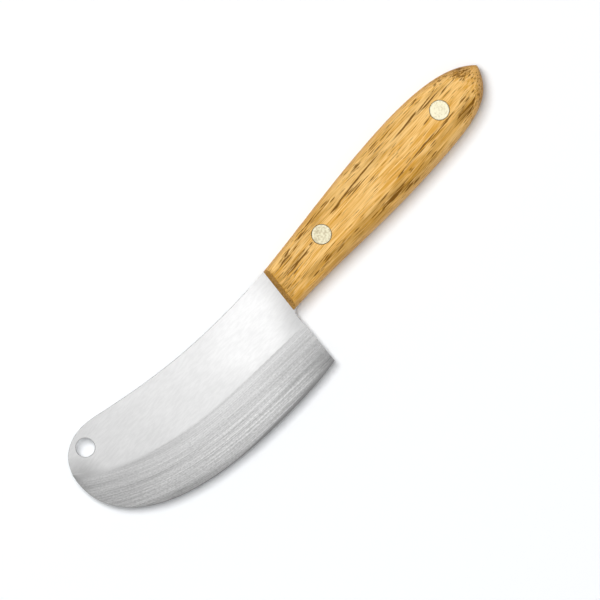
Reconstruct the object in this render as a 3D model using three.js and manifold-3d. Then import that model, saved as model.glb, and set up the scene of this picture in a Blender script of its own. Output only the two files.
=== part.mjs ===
// A cheese knife: a broad round-nosed blade and its full tang cut from one steel sheet, two wooden scales,
// and two flush two-part rivets that clamp the scales to the tang.
//
// Millimetres. The knife is drawn with X along the handle, from the scales' front towards the butt, Y from
// the cutting edge towards the spine, and Z through the sheet, from its middle towards the near scale.
// At the end it is laid down on its far scale, with the origin under the middle of its box.

import * as THREE from "three";
import { mergeVertices } from "three/addons/utils/BufferGeometryUtils.js";
import Module from "manifold-3d";

// Steel sheet
const SHEET_THICKNESS = 2;

// Blade outline. A pull is the length of a curve's handle, from the end of the curve.
const BLADE_LENGTH = 111.2; // scales' front to the nose
const NOSE_HEIGHT = 3.4; // foremost point, above the handle's axis
const NOSE_LENGTH = 24.2; // round part of the spine, behind the nose
const SPINE_HEIGHT = 20.9; // where the round part starts, above the axis
const SPINE_ANGLE = 14.8; // degrees that the spine climbs there
const SPINE_HANDLE_PULL = 40;
const SPINE_NOSE_PULL = 22.8;
const NOSE_SPINE_PULL = 14.1;
const NOSE_TIP_PULL = 14.7;
const EDGE_DEPTH = 36.2; // lowest point of the cutting edge, below the axis
const EDGE_LOWEST_AT = 20; // that point, ahead of the scales' front
const BELLY_TIP_PULL = 15;
const BELLY_HEEL_PULL = 77.1;
const HEEL_SETBACK = 5.5; // heel corner, ahead of the scales' front
const HEEL_RISE = 0.9; // heel corner, above the lowest point of the edge
const HEEL_PULL = 8;
const HEEL_TOP_SETBACK = 1.9; // where the heel line meets the underside of the handle
const HEEL_FILLET = 2.5;

// Hanging hole
const HOLE_DIAMETER = 7.5;
const HOLE_WALL = 2.3; // steel between the hole and the outline
const HOLE_ALONG_NOSE = 13.3; // along the outline, from the start of the round part

// Ground band along the cutting edge, the same on both sides
const GRIND_START_RISE = 9.8; // top of the band past the nose, above the foremost point
const GRIND_START_PULL = new THREE.Vector2(32.5, -27.3);
const GRIND_HEEL_HEIGHT = 19.4; // height of the band at the heel
const GRIND_HEEL_PULL = new THREE.Vector2(-52.2, 4.1);
const GRIND_FULL_WIDTH = 16; // a narrower stretch of the band is ground less deep
const GRIND_LEAD = 3; // run of the grinding wheel past both ends of the edge
const EDGE_BEVEL_WIDTH = 1.3; // final sharpened bevel
const EDGE_SHOULDER = 0.5; // sheet that is left where that bevel starts
const EDGE_THICKNESS = 0.12; // sheet that is left at the very edge

// Handle outline
const HANDLE_LENGTH = 120;
const HANDLE_WIDEST_AT = 75;
const HANDLE_TOP = 13.7; // above the axis at the widest place
const HANDLE_BOTTOM = 13.2; // below the axis at the widest place
const FRONT_TOP = 9.45; // above the axis at the front
const FRONT_BOTTOM = 9.7; // below the axis at the front
const FRONT_STOCK = 4; // length in front of the axis' zero, from which the slanted front is cut
const FRONT_PULL = 22;
const FRONT_TOP_RISE = 0.6; // how far the top edge's handle climbs over that pull
const FRONT_BOTTOM_RISE = 0.5; // how far the underside's handle climbs over that pull
const WIDEST_FRONT_PULL = 29;
const WIDEST_BUTT_PULL = 29.2;
const BUTT_HEIGHT = 1.5; // butt's point, above the axis
const BUTT_BLUNT_WIDTH = 1.2; // flat that is left at the point
const BUTT_PULL = 5.5;
const BUTT_TOP_RISE = 6.6; // how far the top edge's handle stands above the point
const BUTT_BOTTOM_DROP = 13.3; // how far the underside's handle hangs below the point

// Wooden scales
const SCALE_THICKNESS = 8;
const SIDE_LAND = 0.8; // straight wood beside the tang, before the rounding starts
const ROUNDING_WIDTH = 4.5; // reach of the rounding across the scale's face, at the widest place
const FRONT_ROUNDING_WIDTH = 3.5; // the same at the front
const ROUNDING_MOST = 0.9; // share of the half width that the rounding may take near the butt's point
const BUTT_DOME_LENGTH = 15; // over which the face falls towards the butt
const BUTT_WOOD = 3.5; // wood that is left on the tang at the butt's point
const FRONT_SLANT = 9.5; // degrees, across the blade
const FRONT_SLOPE = 14; // degrees, leaning back from the blade's face

// Two-part rivets
const RIVET_HEAD_DIAMETER = 8;
const RIVET_HEAD_HEIGHT = 2.5;
const RIVET_PIN_DIAMETER = 3.3;
const RIVET_SLEEVE_WALL = 0.7;
const RIVET_ROOF = 2; // solid stretch of the sleeve under its head
const RIVET_CLEARANCE = 0.15; // around the pin, the shank and the head
const RIVET_END_GAP = 0.4; // at the end of the pin and of the sleeve
const FRONT_RIVET_BACK = 28.3; // behind the scales' front
const FRONT_RIVET_HEIGHT = 2.4;
const REAR_RIVET_FROM_BUTT = 23.3;
const REAR_RIVET_HEIGHT = 0.8;

// How finely the curves are cut into facets
const SPINE_STEPS = 24;
const NOSE_STEPS = 22;
const BELLY_STEPS = 44;
const HEEL_STEPS = 6;
const GRIND_STEPS = 44;
const HANDLE_STEPS = 16;
const ROUNDING_STEPS = 6;
const ROUND_STEPS = 40;

// Sizes that follow from those above
const HALF_SHEET = SHEET_THICKNESS / 2;
const HALF_HANDLE = HALF_SHEET + SCALE_THICKNESS;
const SPINE_SLOPE = THREE.MathUtils.degToRad(SPINE_ANGLE);
const RIVET_BORE_RADIUS = RIVET_PIN_DIAMETER / 2 + RIVET_CLEARANCE;
const RIVET_SHANK_RADIUS = RIVET_BORE_RADIUS + RIVET_SLEEVE_WALL;
const RIVET_SEAT = HALF_HANDLE - RIVET_HEAD_HEIGHT; // underside of a head, from the sheet's middle
const SHANK_HOLE_RADIUS = RIVET_SHANK_RADIUS + RIVET_CLEARANCE;
const HEAD_HOLE_RADIUS = RIVET_HEAD_DIAMETER / 2 + RIVET_CLEARANCE;
const RIVETS = {
  front: new THREE.Vector2(FRONT_RIVET_BACK, FRONT_RIVET_HEIGHT),
  rear: new THREE.Vector2(HANDLE_LENGTH - REAR_RIVET_FROM_BUTT, REAR_RIVET_HEIGHT),
};

// Solids for cutting
const wasm = await Module();
wasm.setup();

function solidFrom(geometry) {
  const bare = geometry.clone();
  bare.deleteAttribute("normal");
  bare.deleteAttribute("uv");
  const merged = mergeVertices(bare);
  return new wasm.Manifold(
    new wasm.Mesh({
      numProp: 3,
      vertProperties: merged.attributes.position.array,
      triVerts: new Uint32Array(merged.index.array),
    }),
  );
}

function geometryFrom(solid) {
  const mesh = solid.getMesh();
  const geometry = new THREE.BufferGeometry();
  geometry.setAttribute("position", new THREE.BufferAttribute(mesh.vertProperties, 3));
  geometry.setIndex(new THREE.BufferAttribute(mesh.triVerts, 1));
  const faceted = geometry.toNonIndexed();
  faceted.computeVertexNormals();
  return faceted;
}

// Skin through a row of rings with equal counts of points, closed by a cap at each end. Seen from the last
// ring, each ring runs anticlockwise. The caps are cut up as the flat outline of the first ring is.
function loft(rings, flatOutline) {
  const count = rings[0].length;
  const positions = rings.flat().flatMap((point) => point.toArray());
  const index = [];
  for (let ring = 0; ring + 1 < rings.length; ring += 1) {
    for (let i = 0; i < count; i += 1) {
      const a = ring * count + i;
      const b = ring * count + ((i + 1) % count);
      index.push(a, b, b + count, a, b + count, a + count);
    }
  }
  const lastRing = (rings.length - 1) * count;
  for (const [a, b, c] of THREE.ShapeUtils.triangulateShape(flatOutline, [])) {
    index.push(c, b, a);
    index.push(lastRing + a, lastRing + b, lastRing + c);
  }
  const geometry = new THREE.BufferGeometry();
  geometry.setAttribute("position", new THREE.Float32BufferAttribute(positions, 3));
  geometry.setIndex(index);
  return geometry;
}

// Upright cylinder for a hole, from one height to another
function drill(place, radius, from, to) {
  const geometry = new THREE.CylinderGeometry(radius, radius, to - from, ROUND_STEPS);
  geometry.rotateX(Math.PI / 2);
  geometry.translate(place.x, place.y, (from + to) / 2);
  return solidFrom(geometry);
}

// Handle edges, seen from the side. The two edges share their places along X, so that one step of the pair
// gives the handle's width there.
function handleEdge(frontY, frontHandleY, widestY, buttHandleY, buttY) {
  const front = new THREE.CubicBezierCurve(
    new THREE.Vector2(-FRONT_STOCK, frontY),
    new THREE.Vector2(FRONT_PULL - FRONT_STOCK, frontHandleY),
    new THREE.Vector2(HANDLE_WIDEST_AT - WIDEST_FRONT_PULL, widestY),
    new THREE.Vector2(HANDLE_WIDEST_AT, widestY),
  );
  const butt = new THREE.CubicBezierCurve(
    new THREE.Vector2(HANDLE_WIDEST_AT, widestY),
    new THREE.Vector2(HANDLE_WIDEST_AT + WIDEST_BUTT_PULL, widestY),
    new THREE.Vector2(HANDLE_LENGTH - BUTT_PULL, buttHandleY),
    new THREE.Vector2(HANDLE_LENGTH, buttY),
  );
  return [...front.getPoints(HANDLE_STEPS), ...butt.getPoints(HANDLE_STEPS).slice(1)];
}

const topEdge = handleEdge(
  FRONT_TOP,
  FRONT_TOP + FRONT_TOP_RISE,
  HANDLE_TOP,
  BUTT_HEIGHT + BUTT_TOP_RISE,
  BUTT_HEIGHT + BUTT_BLUNT_WIDTH / 2,
);
const bottomEdge = handleEdge(
  -FRONT_BOTTOM,
  -FRONT_BOTTOM + FRONT_BOTTOM_RISE,
  -HANDLE_BOTTOM,
  BUTT_HEIGHT - BUTT_BOTTOM_DROP,
  BUTT_HEIGHT - BUTT_BLUNT_WIDTH / 2,
);

// Blade outline, seen from the near side
const roundStart = new THREE.Vector2(NOSE_LENGTH - BLADE_LENGTH, SPINE_HEIGHT);
const spineRun = new THREE.Vector2(-Math.cos(SPINE_SLOPE), Math.sin(SPINE_SLOPE));
const nosePoint = new THREE.Vector2(-BLADE_LENGTH, NOSE_HEIGHT);
const edgeLowest = new THREE.Vector2(-EDGE_LOWEST_AT, -EDGE_DEPTH);
const heelCorner = new THREE.Vector2(-HEEL_SETBACK, HEEL_RISE - EDGE_DEPTH);

const spine = new THREE.CubicBezierCurve(
  topEdge[0],
  new THREE.Vector2(topEdge[0].x - SPINE_HANDLE_PULL, topEdge[0].y),
  roundStart.clone().addScaledVector(spineRun, -SPINE_NOSE_PULL),
  roundStart,
);
const nose = new THREE.CubicBezierCurve(
  roundStart,
  roundStart.clone().addScaledVector(spineRun, NOSE_SPINE_PULL),
  new THREE.Vector2(nosePoint.x, nosePoint.y + NOSE_TIP_PULL),
  nosePoint,
);
const belly = new THREE.CubicBezierCurve(
  nosePoint,
  new THREE.Vector2(nosePoint.x, nosePoint.y - BELLY_TIP_PULL),
  new THREE.Vector2(edgeLowest.x - BELLY_HEEL_PULL, edgeLowest.y),
  edgeLowest,
);
const heel = new THREE.QuadraticBezierCurve(
  edgeLowest,
  new THREE.Vector2(edgeLowest.x + HEEL_PULL, edgeLowest.y),
  heelCorner,
);

// Inside corner where the heel line runs into the underside of the handle
const heelTop = new THREE.Vector2(-HEEL_TOP_SETBACK, -FRONT_BOTTOM);
const downHeel = heelCorner.clone().sub(heelTop).normalize();
const heelFillet = new THREE.QuadraticBezierCurve(
  heelTop.clone().addScaledVector(downHeel, HEEL_FILLET),
  heelTop,
  new THREE.Vector2(heelTop.x + HEEL_FILLET, heelTop.y),
);

function punch(shape, place, radius) {
  shape.holes.push(new THREE.Path().absarc(place.x, place.y, radius, 0, 2 * Math.PI, true));
}

function bladeShape() {
  const shape = new THREE.Shape([
    ...spine.getPoints(SPINE_STEPS),
    ...nose.getPoints(NOSE_STEPS).slice(1),
    ...belly.getPoints(BELLY_STEPS).slice(1),
    ...heel.getPoints(HEEL_STEPS).slice(1),
    heelFillet.v0,
  ]);
  const along = HOLE_ALONG_NOSE / nose.getLength();
  const run = nose.getTangentAt(along);
  const inward = new THREE.Vector2(-run.y, run.x);
  const hole = nose.getPointAt(along).addScaledVector(inward, HOLE_WALL + HOLE_DIAMETER / 2);
  punch(shape, hole, HOLE_DIAMETER / 2);
  return shape;
}

function tangShape() {
  const shape = new THREE.Shape([
    ...heelFillet.getPoints(HEEL_STEPS),
    ...bottomEdge.filter((point) => point.x > heelFillet.v2.x),
    ...topEdge.slice().reverse(),
  ]);
  for (const place of Object.values(RIVETS)) {
    punch(shape, place, SHANK_HOLE_RADIUS);
  }
  return shape;
}

// What the grinding wheel takes off one side of the sheet: a wedge that deepens from the top of the ground
// band to the shoulder, then the steeper sharpened bevel. Each ring stands across the band.
function grinding(side) {
  const bandStart = new THREE.Vector2(-BLADE_LENGTH, NOSE_HEIGHT + GRIND_START_RISE);
  const bandHeel = new THREE.Vector2(0, GRIND_HEEL_HEIGHT - EDGE_DEPTH);
  const bandTop = new THREE.CubicBezierCurve(
    bandStart,
    bandStart.clone().add(GRIND_START_PULL),
    bandHeel.clone().add(GRIND_HEEL_PULL),
    bandHeel,
  );
  const leadIn = new THREE.Vector2(nosePoint.x - GRIND_LEAD / 2, nosePoint.y + GRIND_LEAD);
  const leadOut = heelCorner.clone().addScaledVector(heel.getTangent(1), GRIND_LEAD);
  const edge = new THREE.CurvePath();
  edge.add(new THREE.LineCurve(leadIn, nosePoint));
  edge.add(belly);
  edge.add(heel);
  edge.add(new THREE.LineCurve(heelCorner, leadOut));

  const fullDepth = HALF_SHEET - EDGE_SHOULDER / 2;
  const bevelDepth = (EDGE_SHOULDER - EDGE_THICKNESS) / 2;
  const tops = bandTop.getSpacedPoints(GRIND_STEPS);
  const edges = edge.getSpacedPoints(GRIND_STEPS);
  const sections = tops.map((top, i) => {
    const width = edges[i].distanceTo(top);
    const share = 1 - Math.max(0, 1 - width / GRIND_FULL_WIDTH) ** 2;
    const shoulder = width - EDGE_BEVEL_WIDTH;
    const slope = (share * fullDepth) / shoulder;
    const bevelSlope = (share * bevelDepth) / EDGE_BEVEL_WIDTH;
    const beyond = EDGE_BEVEL_WIDTH + GRIND_LEAD / 2;
    const before = -GRIND_LEAD / 2;
    const past = shoulder + beyond;
    const clear = HALF_SHEET + GRIND_LEAD;
    return [
      new THREE.Vector2(past, clear),
      new THREE.Vector2(before, clear),
      new THREE.Vector2(before, HALF_SHEET - before * slope),
      new THREE.Vector2(shoulder, HALF_SHEET - shoulder * slope),
      new THREE.Vector2(past, HALF_SHEET - shoulder * slope - beyond * bevelSlope),
    ];
  });
  const rings = sections.map((section, i) => {
    const across = edges[i].clone().sub(tops[i]).normalize();
    return section.map(({ x, y }) => {
      const place = tops[i].clone().addScaledVector(across, x);
      return new THREE.Vector3(place.x, place.y, side * y);
    });
  });
  if (side > 0) rings.reverse();
  return solidFrom(loft(rings, sections[0]));
}

function sheetCut(shape) {
  const sheet = new THREE.ExtrudeGeometry(shape, {
    depth: SHEET_THICKNESS,
    bevelEnabled: false,
    curveSegments: ROUND_STEPS / 2,
  });
  sheet.translate(0, 0, -HALF_SHEET);
  return solidFrom(sheet);
}

function bladeGeometry() {
  const blank = sheetCut(bladeShape()).add(sheetCut(tangShape()));
  return geometryFrom(blank.subtract(grinding(1)).subtract(grinding(-1)));
}

// Section of the near scale at one place along the handle: flat against the tang, upright beside it, and
// rounded over to the flat face
function scaleSection(top, bottom) {
  const toButt = Math.max(0, 1 - (HANDLE_LENGTH - top.x) / BUTT_DOME_LENGTH);
  const dome = Math.sqrt(1 - toButt * toButt);
  const face = HALF_SHEET + BUTT_WOOD + (SCALE_THICKNESS - BUTT_WOOD) * dome;
  const land = HALF_SHEET + SIDE_LAND;
  const toWidest = THREE.MathUtils.smoothstep(top.x, 0, HANDLE_WIDEST_AT);
  const rounding = THREE.MathUtils.lerp(FRONT_ROUNDING_WIDTH, ROUNDING_WIDTH, toWidest);
  const middle = (top.y + bottom.y) / 2;
  const width = Math.min(rounding, ROUNDING_MOST * (top.y - middle));
  const section = [new THREE.Vector2(top.y, HALF_SHEET)];
  for (let step = 0; step <= ROUNDING_STEPS; step += 1) {
    const turn = ((step / ROUNDING_STEPS) * Math.PI) / 2;
    const inward = width * (1 - Math.cos(turn));
    section.push(new THREE.Vector2(top.y - inward, land + (face - land) * Math.sin(turn)));
  }
  for (let step = ROUNDING_STEPS; step >= 0; step -= 1) {
    const turn = ((step / ROUNDING_STEPS) * Math.PI) / 2;
    const inward = width * (1 - Math.cos(turn));
    section.push(new THREE.Vector2(bottom.y + inward, land + (face - land) * Math.sin(turn)));
  }
  section.push(new THREE.Vector2(bottom.y, HALF_SHEET));
  return section;
}

// Block whose back face is the scales' slanted and sloped front
function frontCut() {
  const reach = 2 * (HANDLE_TOP + HANDLE_BOTTOM);
  const cut = new THREE.BoxGeometry(reach, reach, reach);
  cut.translate(-reach / 2, 0, 0);
  const slant = Math.tan(THREE.MathUtils.degToRad(FRONT_SLANT));
  const slope = Math.tan(THREE.MathUtils.degToRad(FRONT_SLOPE));
  cut.applyMatrix4(new THREE.Matrix4().makeShear(0, 0, slant, 0, slope, 0));
  cut.translate(0, 0, HALF_SHEET);
  return solidFrom(cut);
}

function nearScaleGeometry() {
  const sections = topEdge.map((top, i) => scaleSection(top, bottomEdge[i]));
  const rings = sections.map((section, i) =>
    section.map(({ x, y }) => new THREE.Vector3(topEdge[i].x, x, y)),
  );
  let wood = solidFrom(loft(rings, sections[0])).subtract(frontCut());
  for (const place of Object.values(RIVETS)) {
    wood = wood.subtract(drill(place, SHANK_HOLE_RADIUS, 0, HALF_HANDLE));
    wood = wood.subtract(drill(place, HEAD_HOLE_RADIUS, RIVET_SEAT, 2 * HALF_HANDLE));
  }
  return geometryFrom(wood);
}

// Rivet halves are turned about their own axis, drawn as [radius, height] from the sheet's middle
function turned(profile) {
  const points = profile.map(([radius, height]) => new THREE.Vector2(radius, height));
  const geometry = new THREE.LatheGeometry(points, ROUND_STEPS);
  geometry.rotateX(Math.PI / 2);
  return geometry;
}

const RIVET_BORE_TOP = RIVET_SEAT - RIVET_ROOF;
const RIVET_SLEEVE_END = RIVET_END_GAP - RIVET_SEAT;

const sleeveGeometry = turned([
  [0, RIVET_BORE_TOP],
  [RIVET_BORE_RADIUS, RIVET_BORE_TOP],
  [RIVET_BORE_RADIUS, RIVET_SLEEVE_END],
  [RIVET_SHANK_RADIUS, RIVET_SLEEVE_END],
  [RIVET_SHANK_RADIUS, RIVET_SEAT],
  [RIVET_HEAD_DIAMETER / 2, RIVET_SEAT],
  [RIVET_HEAD_DIAMETER / 2, HALF_HANDLE],
  [0, HALF_HANDLE],
]);
const pinGeometry = turned([
  [0, -HALF_HANDLE],
  [RIVET_HEAD_DIAMETER / 2, -HALF_HANDLE],
  [RIVET_HEAD_DIAMETER / 2, -RIVET_SEAT],
  [RIVET_PIN_DIAMETER / 2, -RIVET_SEAT],
  [RIVET_PIN_DIAMETER / 2, RIVET_BORE_TOP - RIVET_END_GAP],
  [0, RIVET_BORE_TOP - RIVET_END_GAP],
]);

// Finishes
const satinSteel = () => new THREE.MeshStandardMaterial({ color: 0xd6d7d8, roughness: 0.35, metalness: 1 });
const oiledAsh = () => new THREE.MeshStandardMaterial({ color: 0xdcaa5f, roughness: 0.5, metalness: 0 });
const aluminium = () => new THREE.MeshStandardMaterial({ color: 0xe9e2c8, roughness: 0.4, metalness: 1 });

function piece(name, geometry, material) {
  const mesh = new THREE.Mesh(geometry, material);
  mesh.name = name;
  return mesh;
}

// The far scale is the near one mirrored in the sheet's middle plane
const assembly = new THREE.Group();
assembly.add(piece("blade", bladeGeometry(), satinSteel()));
const scaleGeometry = nearScaleGeometry();
assembly.add(piece("near_scale", scaleGeometry, oiledAsh()));
const farScale = piece("far_scale", scaleGeometry, oiledAsh());
farScale.scale.z = -1;
assembly.add(farScale);
for (const [name, place] of Object.entries(RIVETS)) {
  const rivet = new THREE.Group();
  rivet.add(piece(`${name}_rivet_sleeve`, sleeveGeometry, aluminium()));
  rivet.add(piece(`${name}_rivet_pin`, pinGeometry, aluminium()));
  rivet.position.set(place.x, place.y, 0);
  assembly.add(rivet);
}

// Laid down with the origin under the middle of the box
const knife = new THREE.Group();
knife.add(assembly);
const box = new THREE.Box3().setFromObject(assembly);
const boxMiddle = box.getCenter(new THREE.Vector3());
assembly.position.set(-boxMiddle.x, -boxMiddle.y, -box.min.z);

export default knife;
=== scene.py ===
"""Looks of a cheese knife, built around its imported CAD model.

Metres, in the CAD model's own frame: X runs from the nose to the butt, Y from the cutting edge to the spine
and Z up, and the knife lies on its far scale. The outlines are drawn from a drawing origin that lies in the
middle of the sheet, on the handle's axis, at the front of the scales.
"""

import math

import bmesh
import bpy
import numpy
from bpy.props import FloatProperty, FloatVectorProperty, IntProperty, PointerProperty
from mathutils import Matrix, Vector
from mathutils.geometry import intersect_line_line_2d


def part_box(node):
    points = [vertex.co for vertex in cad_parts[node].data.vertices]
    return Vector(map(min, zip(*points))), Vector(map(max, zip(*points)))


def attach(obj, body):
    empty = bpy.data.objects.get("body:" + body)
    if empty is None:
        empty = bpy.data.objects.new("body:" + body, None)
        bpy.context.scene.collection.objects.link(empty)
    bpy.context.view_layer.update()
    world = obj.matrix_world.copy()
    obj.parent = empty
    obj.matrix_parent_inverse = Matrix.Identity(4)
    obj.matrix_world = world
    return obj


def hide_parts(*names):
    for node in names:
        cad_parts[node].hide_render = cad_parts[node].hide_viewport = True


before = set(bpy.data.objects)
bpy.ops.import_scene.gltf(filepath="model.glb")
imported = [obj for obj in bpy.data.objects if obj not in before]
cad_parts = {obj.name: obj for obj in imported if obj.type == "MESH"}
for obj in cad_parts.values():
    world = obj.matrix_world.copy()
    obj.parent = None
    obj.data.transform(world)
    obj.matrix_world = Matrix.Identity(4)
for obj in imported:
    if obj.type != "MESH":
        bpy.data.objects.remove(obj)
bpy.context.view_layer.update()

bl_info = {
    "name": "Cheese knife",
    "version": (1, 0, 0),
    "blender": (4, 5, 0),
    "location": "3D View > Sidebar > Cheese Knife",
    "description": "Blade, wooden scales and rivets of a cheese knife, with a plain studio around them",
    "category": "Object",
}

# Places taken from the frame, and the two sizes that set the drawing origin in it
MM = 0.001
BLADE_LOW, BLADE_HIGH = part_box("blade")
SCALE_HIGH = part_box("near_scale")[1]
SLEEVE_BOXES = [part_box("front_rivet_sleeve"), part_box("rear_rivet_sleeve")]
HANDLE_LENGTH = 120 * MM
EDGE_DEPTH = 36.2 * MM
ORIGIN = Vector(
    (
        SCALE_HIGH.x - HANDLE_LENGTH,
        BLADE_LOW.y + EDGE_DEPTH,
        (BLADE_LOW.z + BLADE_HIGH.z) / 2,
    )
)
HALF_SHEET = (BLADE_HIGH.z - BLADE_LOW.z) / 2
HALF_HANDLE = SCALE_HIGH.z - ORIGIN.z
HEAD_DIAMETER = SLEEVE_BOXES[0][1].x - SLEEVE_BOXES[0][0].x
RIVET_PLACES = [(low + high) / 2 - ORIGIN for low, high in SLEEVE_BOXES]

SHARP_ANGLE = math.radians(32)


# Settings

def linear(hex_colour):
    """Linear colour, with full alpha, of an sRGB hex value."""
    channels = [int(hex_colour[i : i + 2], 16) / 255 for i in (1, 3, 5)]
    return [c / 12.92 if c <= 0.04045 else ((c + 0.055) / 1.055) ** 2.4 for c in channels] + [1.0]


def length(name, default, description):
    return FloatProperty(name=name, description=description, default=default, unit="LENGTH", precision=5)


def reach(name, default, description):
    return FloatVectorProperty(
        name=name, description=description, default=default, size=2, subtype="XYZ_LENGTH"
    )


def angle(name, degrees, description):
    return FloatProperty(name=name, description=description, default=math.radians(degrees), subtype="ANGLE")


def share(name, default, description):
    return FloatProperty(
        name=name, description=description, default=default, min=0, max=1, subtype="FACTOR"
    )


def power(name, default, description):
    return FloatProperty(name=name, description=description, default=default, unit="POWER")


def colour(name, hex_colour, description):
    return FloatVectorProperty(
        name=name, description=description, default=linear(hex_colour), size=4, min=0, max=1, subtype="COLOR"
    )


class BladeSizes(bpy.types.PropertyGroup):
    """Sizes of the steel sheet. A pull is the length of a curve's handle, from the end of the curve"""

    length: length("Length", ORIGIN.x - BLADE_LOW.x, "Scales' front to the nose")
    nose_height: length("Nose height", 3.4 * MM, "Foremost point, above the handle's axis")
    nose_length: length("Nose length", 24.2 * MM, "Round part of the spine, behind the nose")
    spine_height: length("Spine height", 20.9 * MM, "Start of the round part, above the axis")
    spine_angle: angle("Spine angle", 14.8, "Climb of the spine at the start of the round part")
    spine_handle_pull: length("Spine pull at handle", 40 * MM, "Pull of the spine's curve by the handle")
    spine_nose_pull: length("Spine pull at nose", 22.8 * MM, "Pull of the spine's curve by the nose")
    nose_spine_pull: length("Nose pull at spine", 14.1 * MM, "Pull of the nose's curve by the spine")
    nose_tip_pull: length("Nose pull at tip", 14.7 * MM, "Pull of the nose's curve by its foremost point")
    edge_depth: length("Edge depth", EDGE_DEPTH, "Lowest point of the cutting edge, below the axis")
    edge_lowest_at: length("Lowest point", 20 * MM, "That point, ahead of the scales' front")
    belly_tip_pull: length("Belly pull at tip", 15 * MM, "Pull of the edge's curve by the nose")
    belly_heel_pull: length("Belly pull at heel", 77.1 * MM, "Pull of the edge's curve by its lowest point")
    heel_setback: length("Heel setback", 5.5 * MM, "Heel corner, ahead of the scales' front")
    heel_rise: length("Heel rise", 0.9 * MM, "Heel corner, above the lowest point")
    heel_pull: length("Heel pull", 8 * MM, "Pull of the edge's curve before the heel corner")
    heel_top_setback: length("Heel top", 1.9 * MM, "Meeting of heel line and handle, ahead of the front")
    heel_fillet: length("Heel fillet", 2.5 * MM, "Round corner where the heel line meets the handle")
    hole_diameter: length("Hole diameter", 7.5 * MM, "Hanging hole")
    hole_wall: length("Hole wall", 2.3 * MM, "Steel between the hole and the outline")
    hole_along: length("Hole along nose", 13.3 * MM, "Along the outline, from the start of the round part")
    hole_chamfer: length("Hole chamfer", 0.3 * MM, "Broken edge of the hole")
    rim_chamfer: length("Rim chamfer", 0.25 * MM, "Broken edge of the spine, the nose and the heel")
    grind_start_rise: length("Band start", 9.8 * MM, "Top of the ground band past the nose, above its point")
    grind_start_pull: reach("Band pull at nose", (32.5 * MM, -27.3 * MM), "Pull of the band's top line")
    grind_heel_height: length("Band at heel", 19.4 * MM, "Height of the band at the scales' front")
    grind_heel_pull: reach("Band pull at heel", (-52.2 * MM, 4.1 * MM), "Pull of the band's top line")
    grind_full_width: length("Full grind", 16 * MM, "A narrower stretch of the band is ground less deep")
    grind_fade: length("Band fade", 45 * MM, "Stretch behind the nose over which its top line sharpens")
    bevel_width: length("Bevel width", 1.3 * MM, "Sharpened bevel near the heel")
    bevel_tip_width: length("Bevel width at tip", 0.35 * MM, "Sharpened bevel from the belly forward")
    bevel_wide_from: length("Bevel widens", 66 * MM, "Where the bevel starts to widen, ahead of the front")
    bevel_wide_to: length("Bevel full", 38 * MM, "Where the bevel has its full width, ahead of the front")
    bevel_fade: length("Bevel fade", 25 * MM, "Stretch behind the nose over which the bevel steepens")
    shoulder_thickness: length("Shoulder", 0.5 * MM, "Sheet that is left where the full bevel starts")
    edge_thickness: length("Edge", 0.12 * MM, "Sheet that is left at the very edge")


class HandleSizes(bpy.types.PropertyGroup):
    """Sizes of the two wooden scales and of the tang between them"""

    length: length("Length", HANDLE_LENGTH, "Front of the scales to the butt")
    widest_at: length("Widest place", 75 * MM, "Behind the front")
    top: length("Top", 13.7 * MM, "Above the axis at the widest place")
    bottom: length("Bottom", 13.2 * MM, "Below the axis at the widest place")
    front_top: length("Front top", 9.45 * MM, "Above the axis at the front")
    front_bottom: length("Front bottom", 9.7 * MM, "Below the axis at the front")
    front_stock: length("Front stock", 4 * MM, "Length ahead of the front, from which the slant is cut")
    front_pull: length("Front pull", 22 * MM, "Pull of both edges at the front")
    front_top_rise: length("Top rise", 0.6 * MM, "Climb of the top edge over that pull")
    front_bottom_rise: length("Bottom rise", 0.5 * MM, "Climb of the bottom edge over that pull")
    widest_front_pull: length("Pull ahead of widest", 29 * MM, "Pull of both edges at the widest place")
    widest_butt_pull: length("Pull behind widest", 29.2 * MM, "Pull of both edges at the widest place")
    butt_height: length("Butt height", 1.5 * MM, "Butt's point, above the axis")
    butt_blunt: length("Butt flat", 1.2 * MM, "Flat that is left at the point")
    butt_pull: length("Butt pull", 5.5 * MM, "Pull of both edges at the point")
    butt_top_rise: length("Butt top rise", 6.6 * MM, "Top edge's pull, above the point")
    butt_bottom_drop: length("Butt bottom drop", 13.3 * MM, "Bottom edge's pull, below the point")
    side_land: length("Side land", 0.8 * MM, "Straight wood beside the tang, before the rounding")
    rounding: length("Rounding", 4.5 * MM, "Reach of the rounding across the face at the widest place")
    front_rounding: length("Front rounding", 3.5 * MM, "The same at the front")
    rounding_most: share("Rounding limit", 0.9, "Most of the half width that the rounding may take")
    dome_length: length("Butt dome", 15 * MM, "Over which the face falls towards the butt")
    butt_wood: length("Butt wood", 3.5 * MM, "Wood that is left on the tang at the point")
    front_slant: angle("Front slant", 9.5, "Slant of the front across the blade")
    front_slope: angle("Front slope", 14, "Lean of the front back from the blade's face")
    front_rim: length("Front rim", 0.45 * MM, "Sanded rim of the front")


class RivetSizes(bpy.types.PropertyGroup):
    """Sizes of the two-part rivets"""

    head_diameter: length("Head diameter", HEAD_DIAMETER, "Flush head")
    head_height: length("Head height", 2.5 * MM, "Thickness of a head")
    pin_diameter: length("Pin diameter", 3.3 * MM, "Solid shank of the far half")
    sleeve_wall: length("Sleeve wall", 0.7 * MM, "Wall of the near half's tube")
    roof: length("Roof", 2 * MM, "Solid stretch of the sleeve under its head")
    clearance: length("Clearance", 0.15 * MM, "Around the pin, the shank and the head")
    end_gap: length("End gap", 0.4 * MM, "At the end of the pin and of the sleeve")
    rim: length("Rim", 0.2 * MM, "Rounded rim of a head")
    sides: IntProperty(name="Sides", description="Facets around a rivet", default=72, min=12, max=256)


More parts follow.
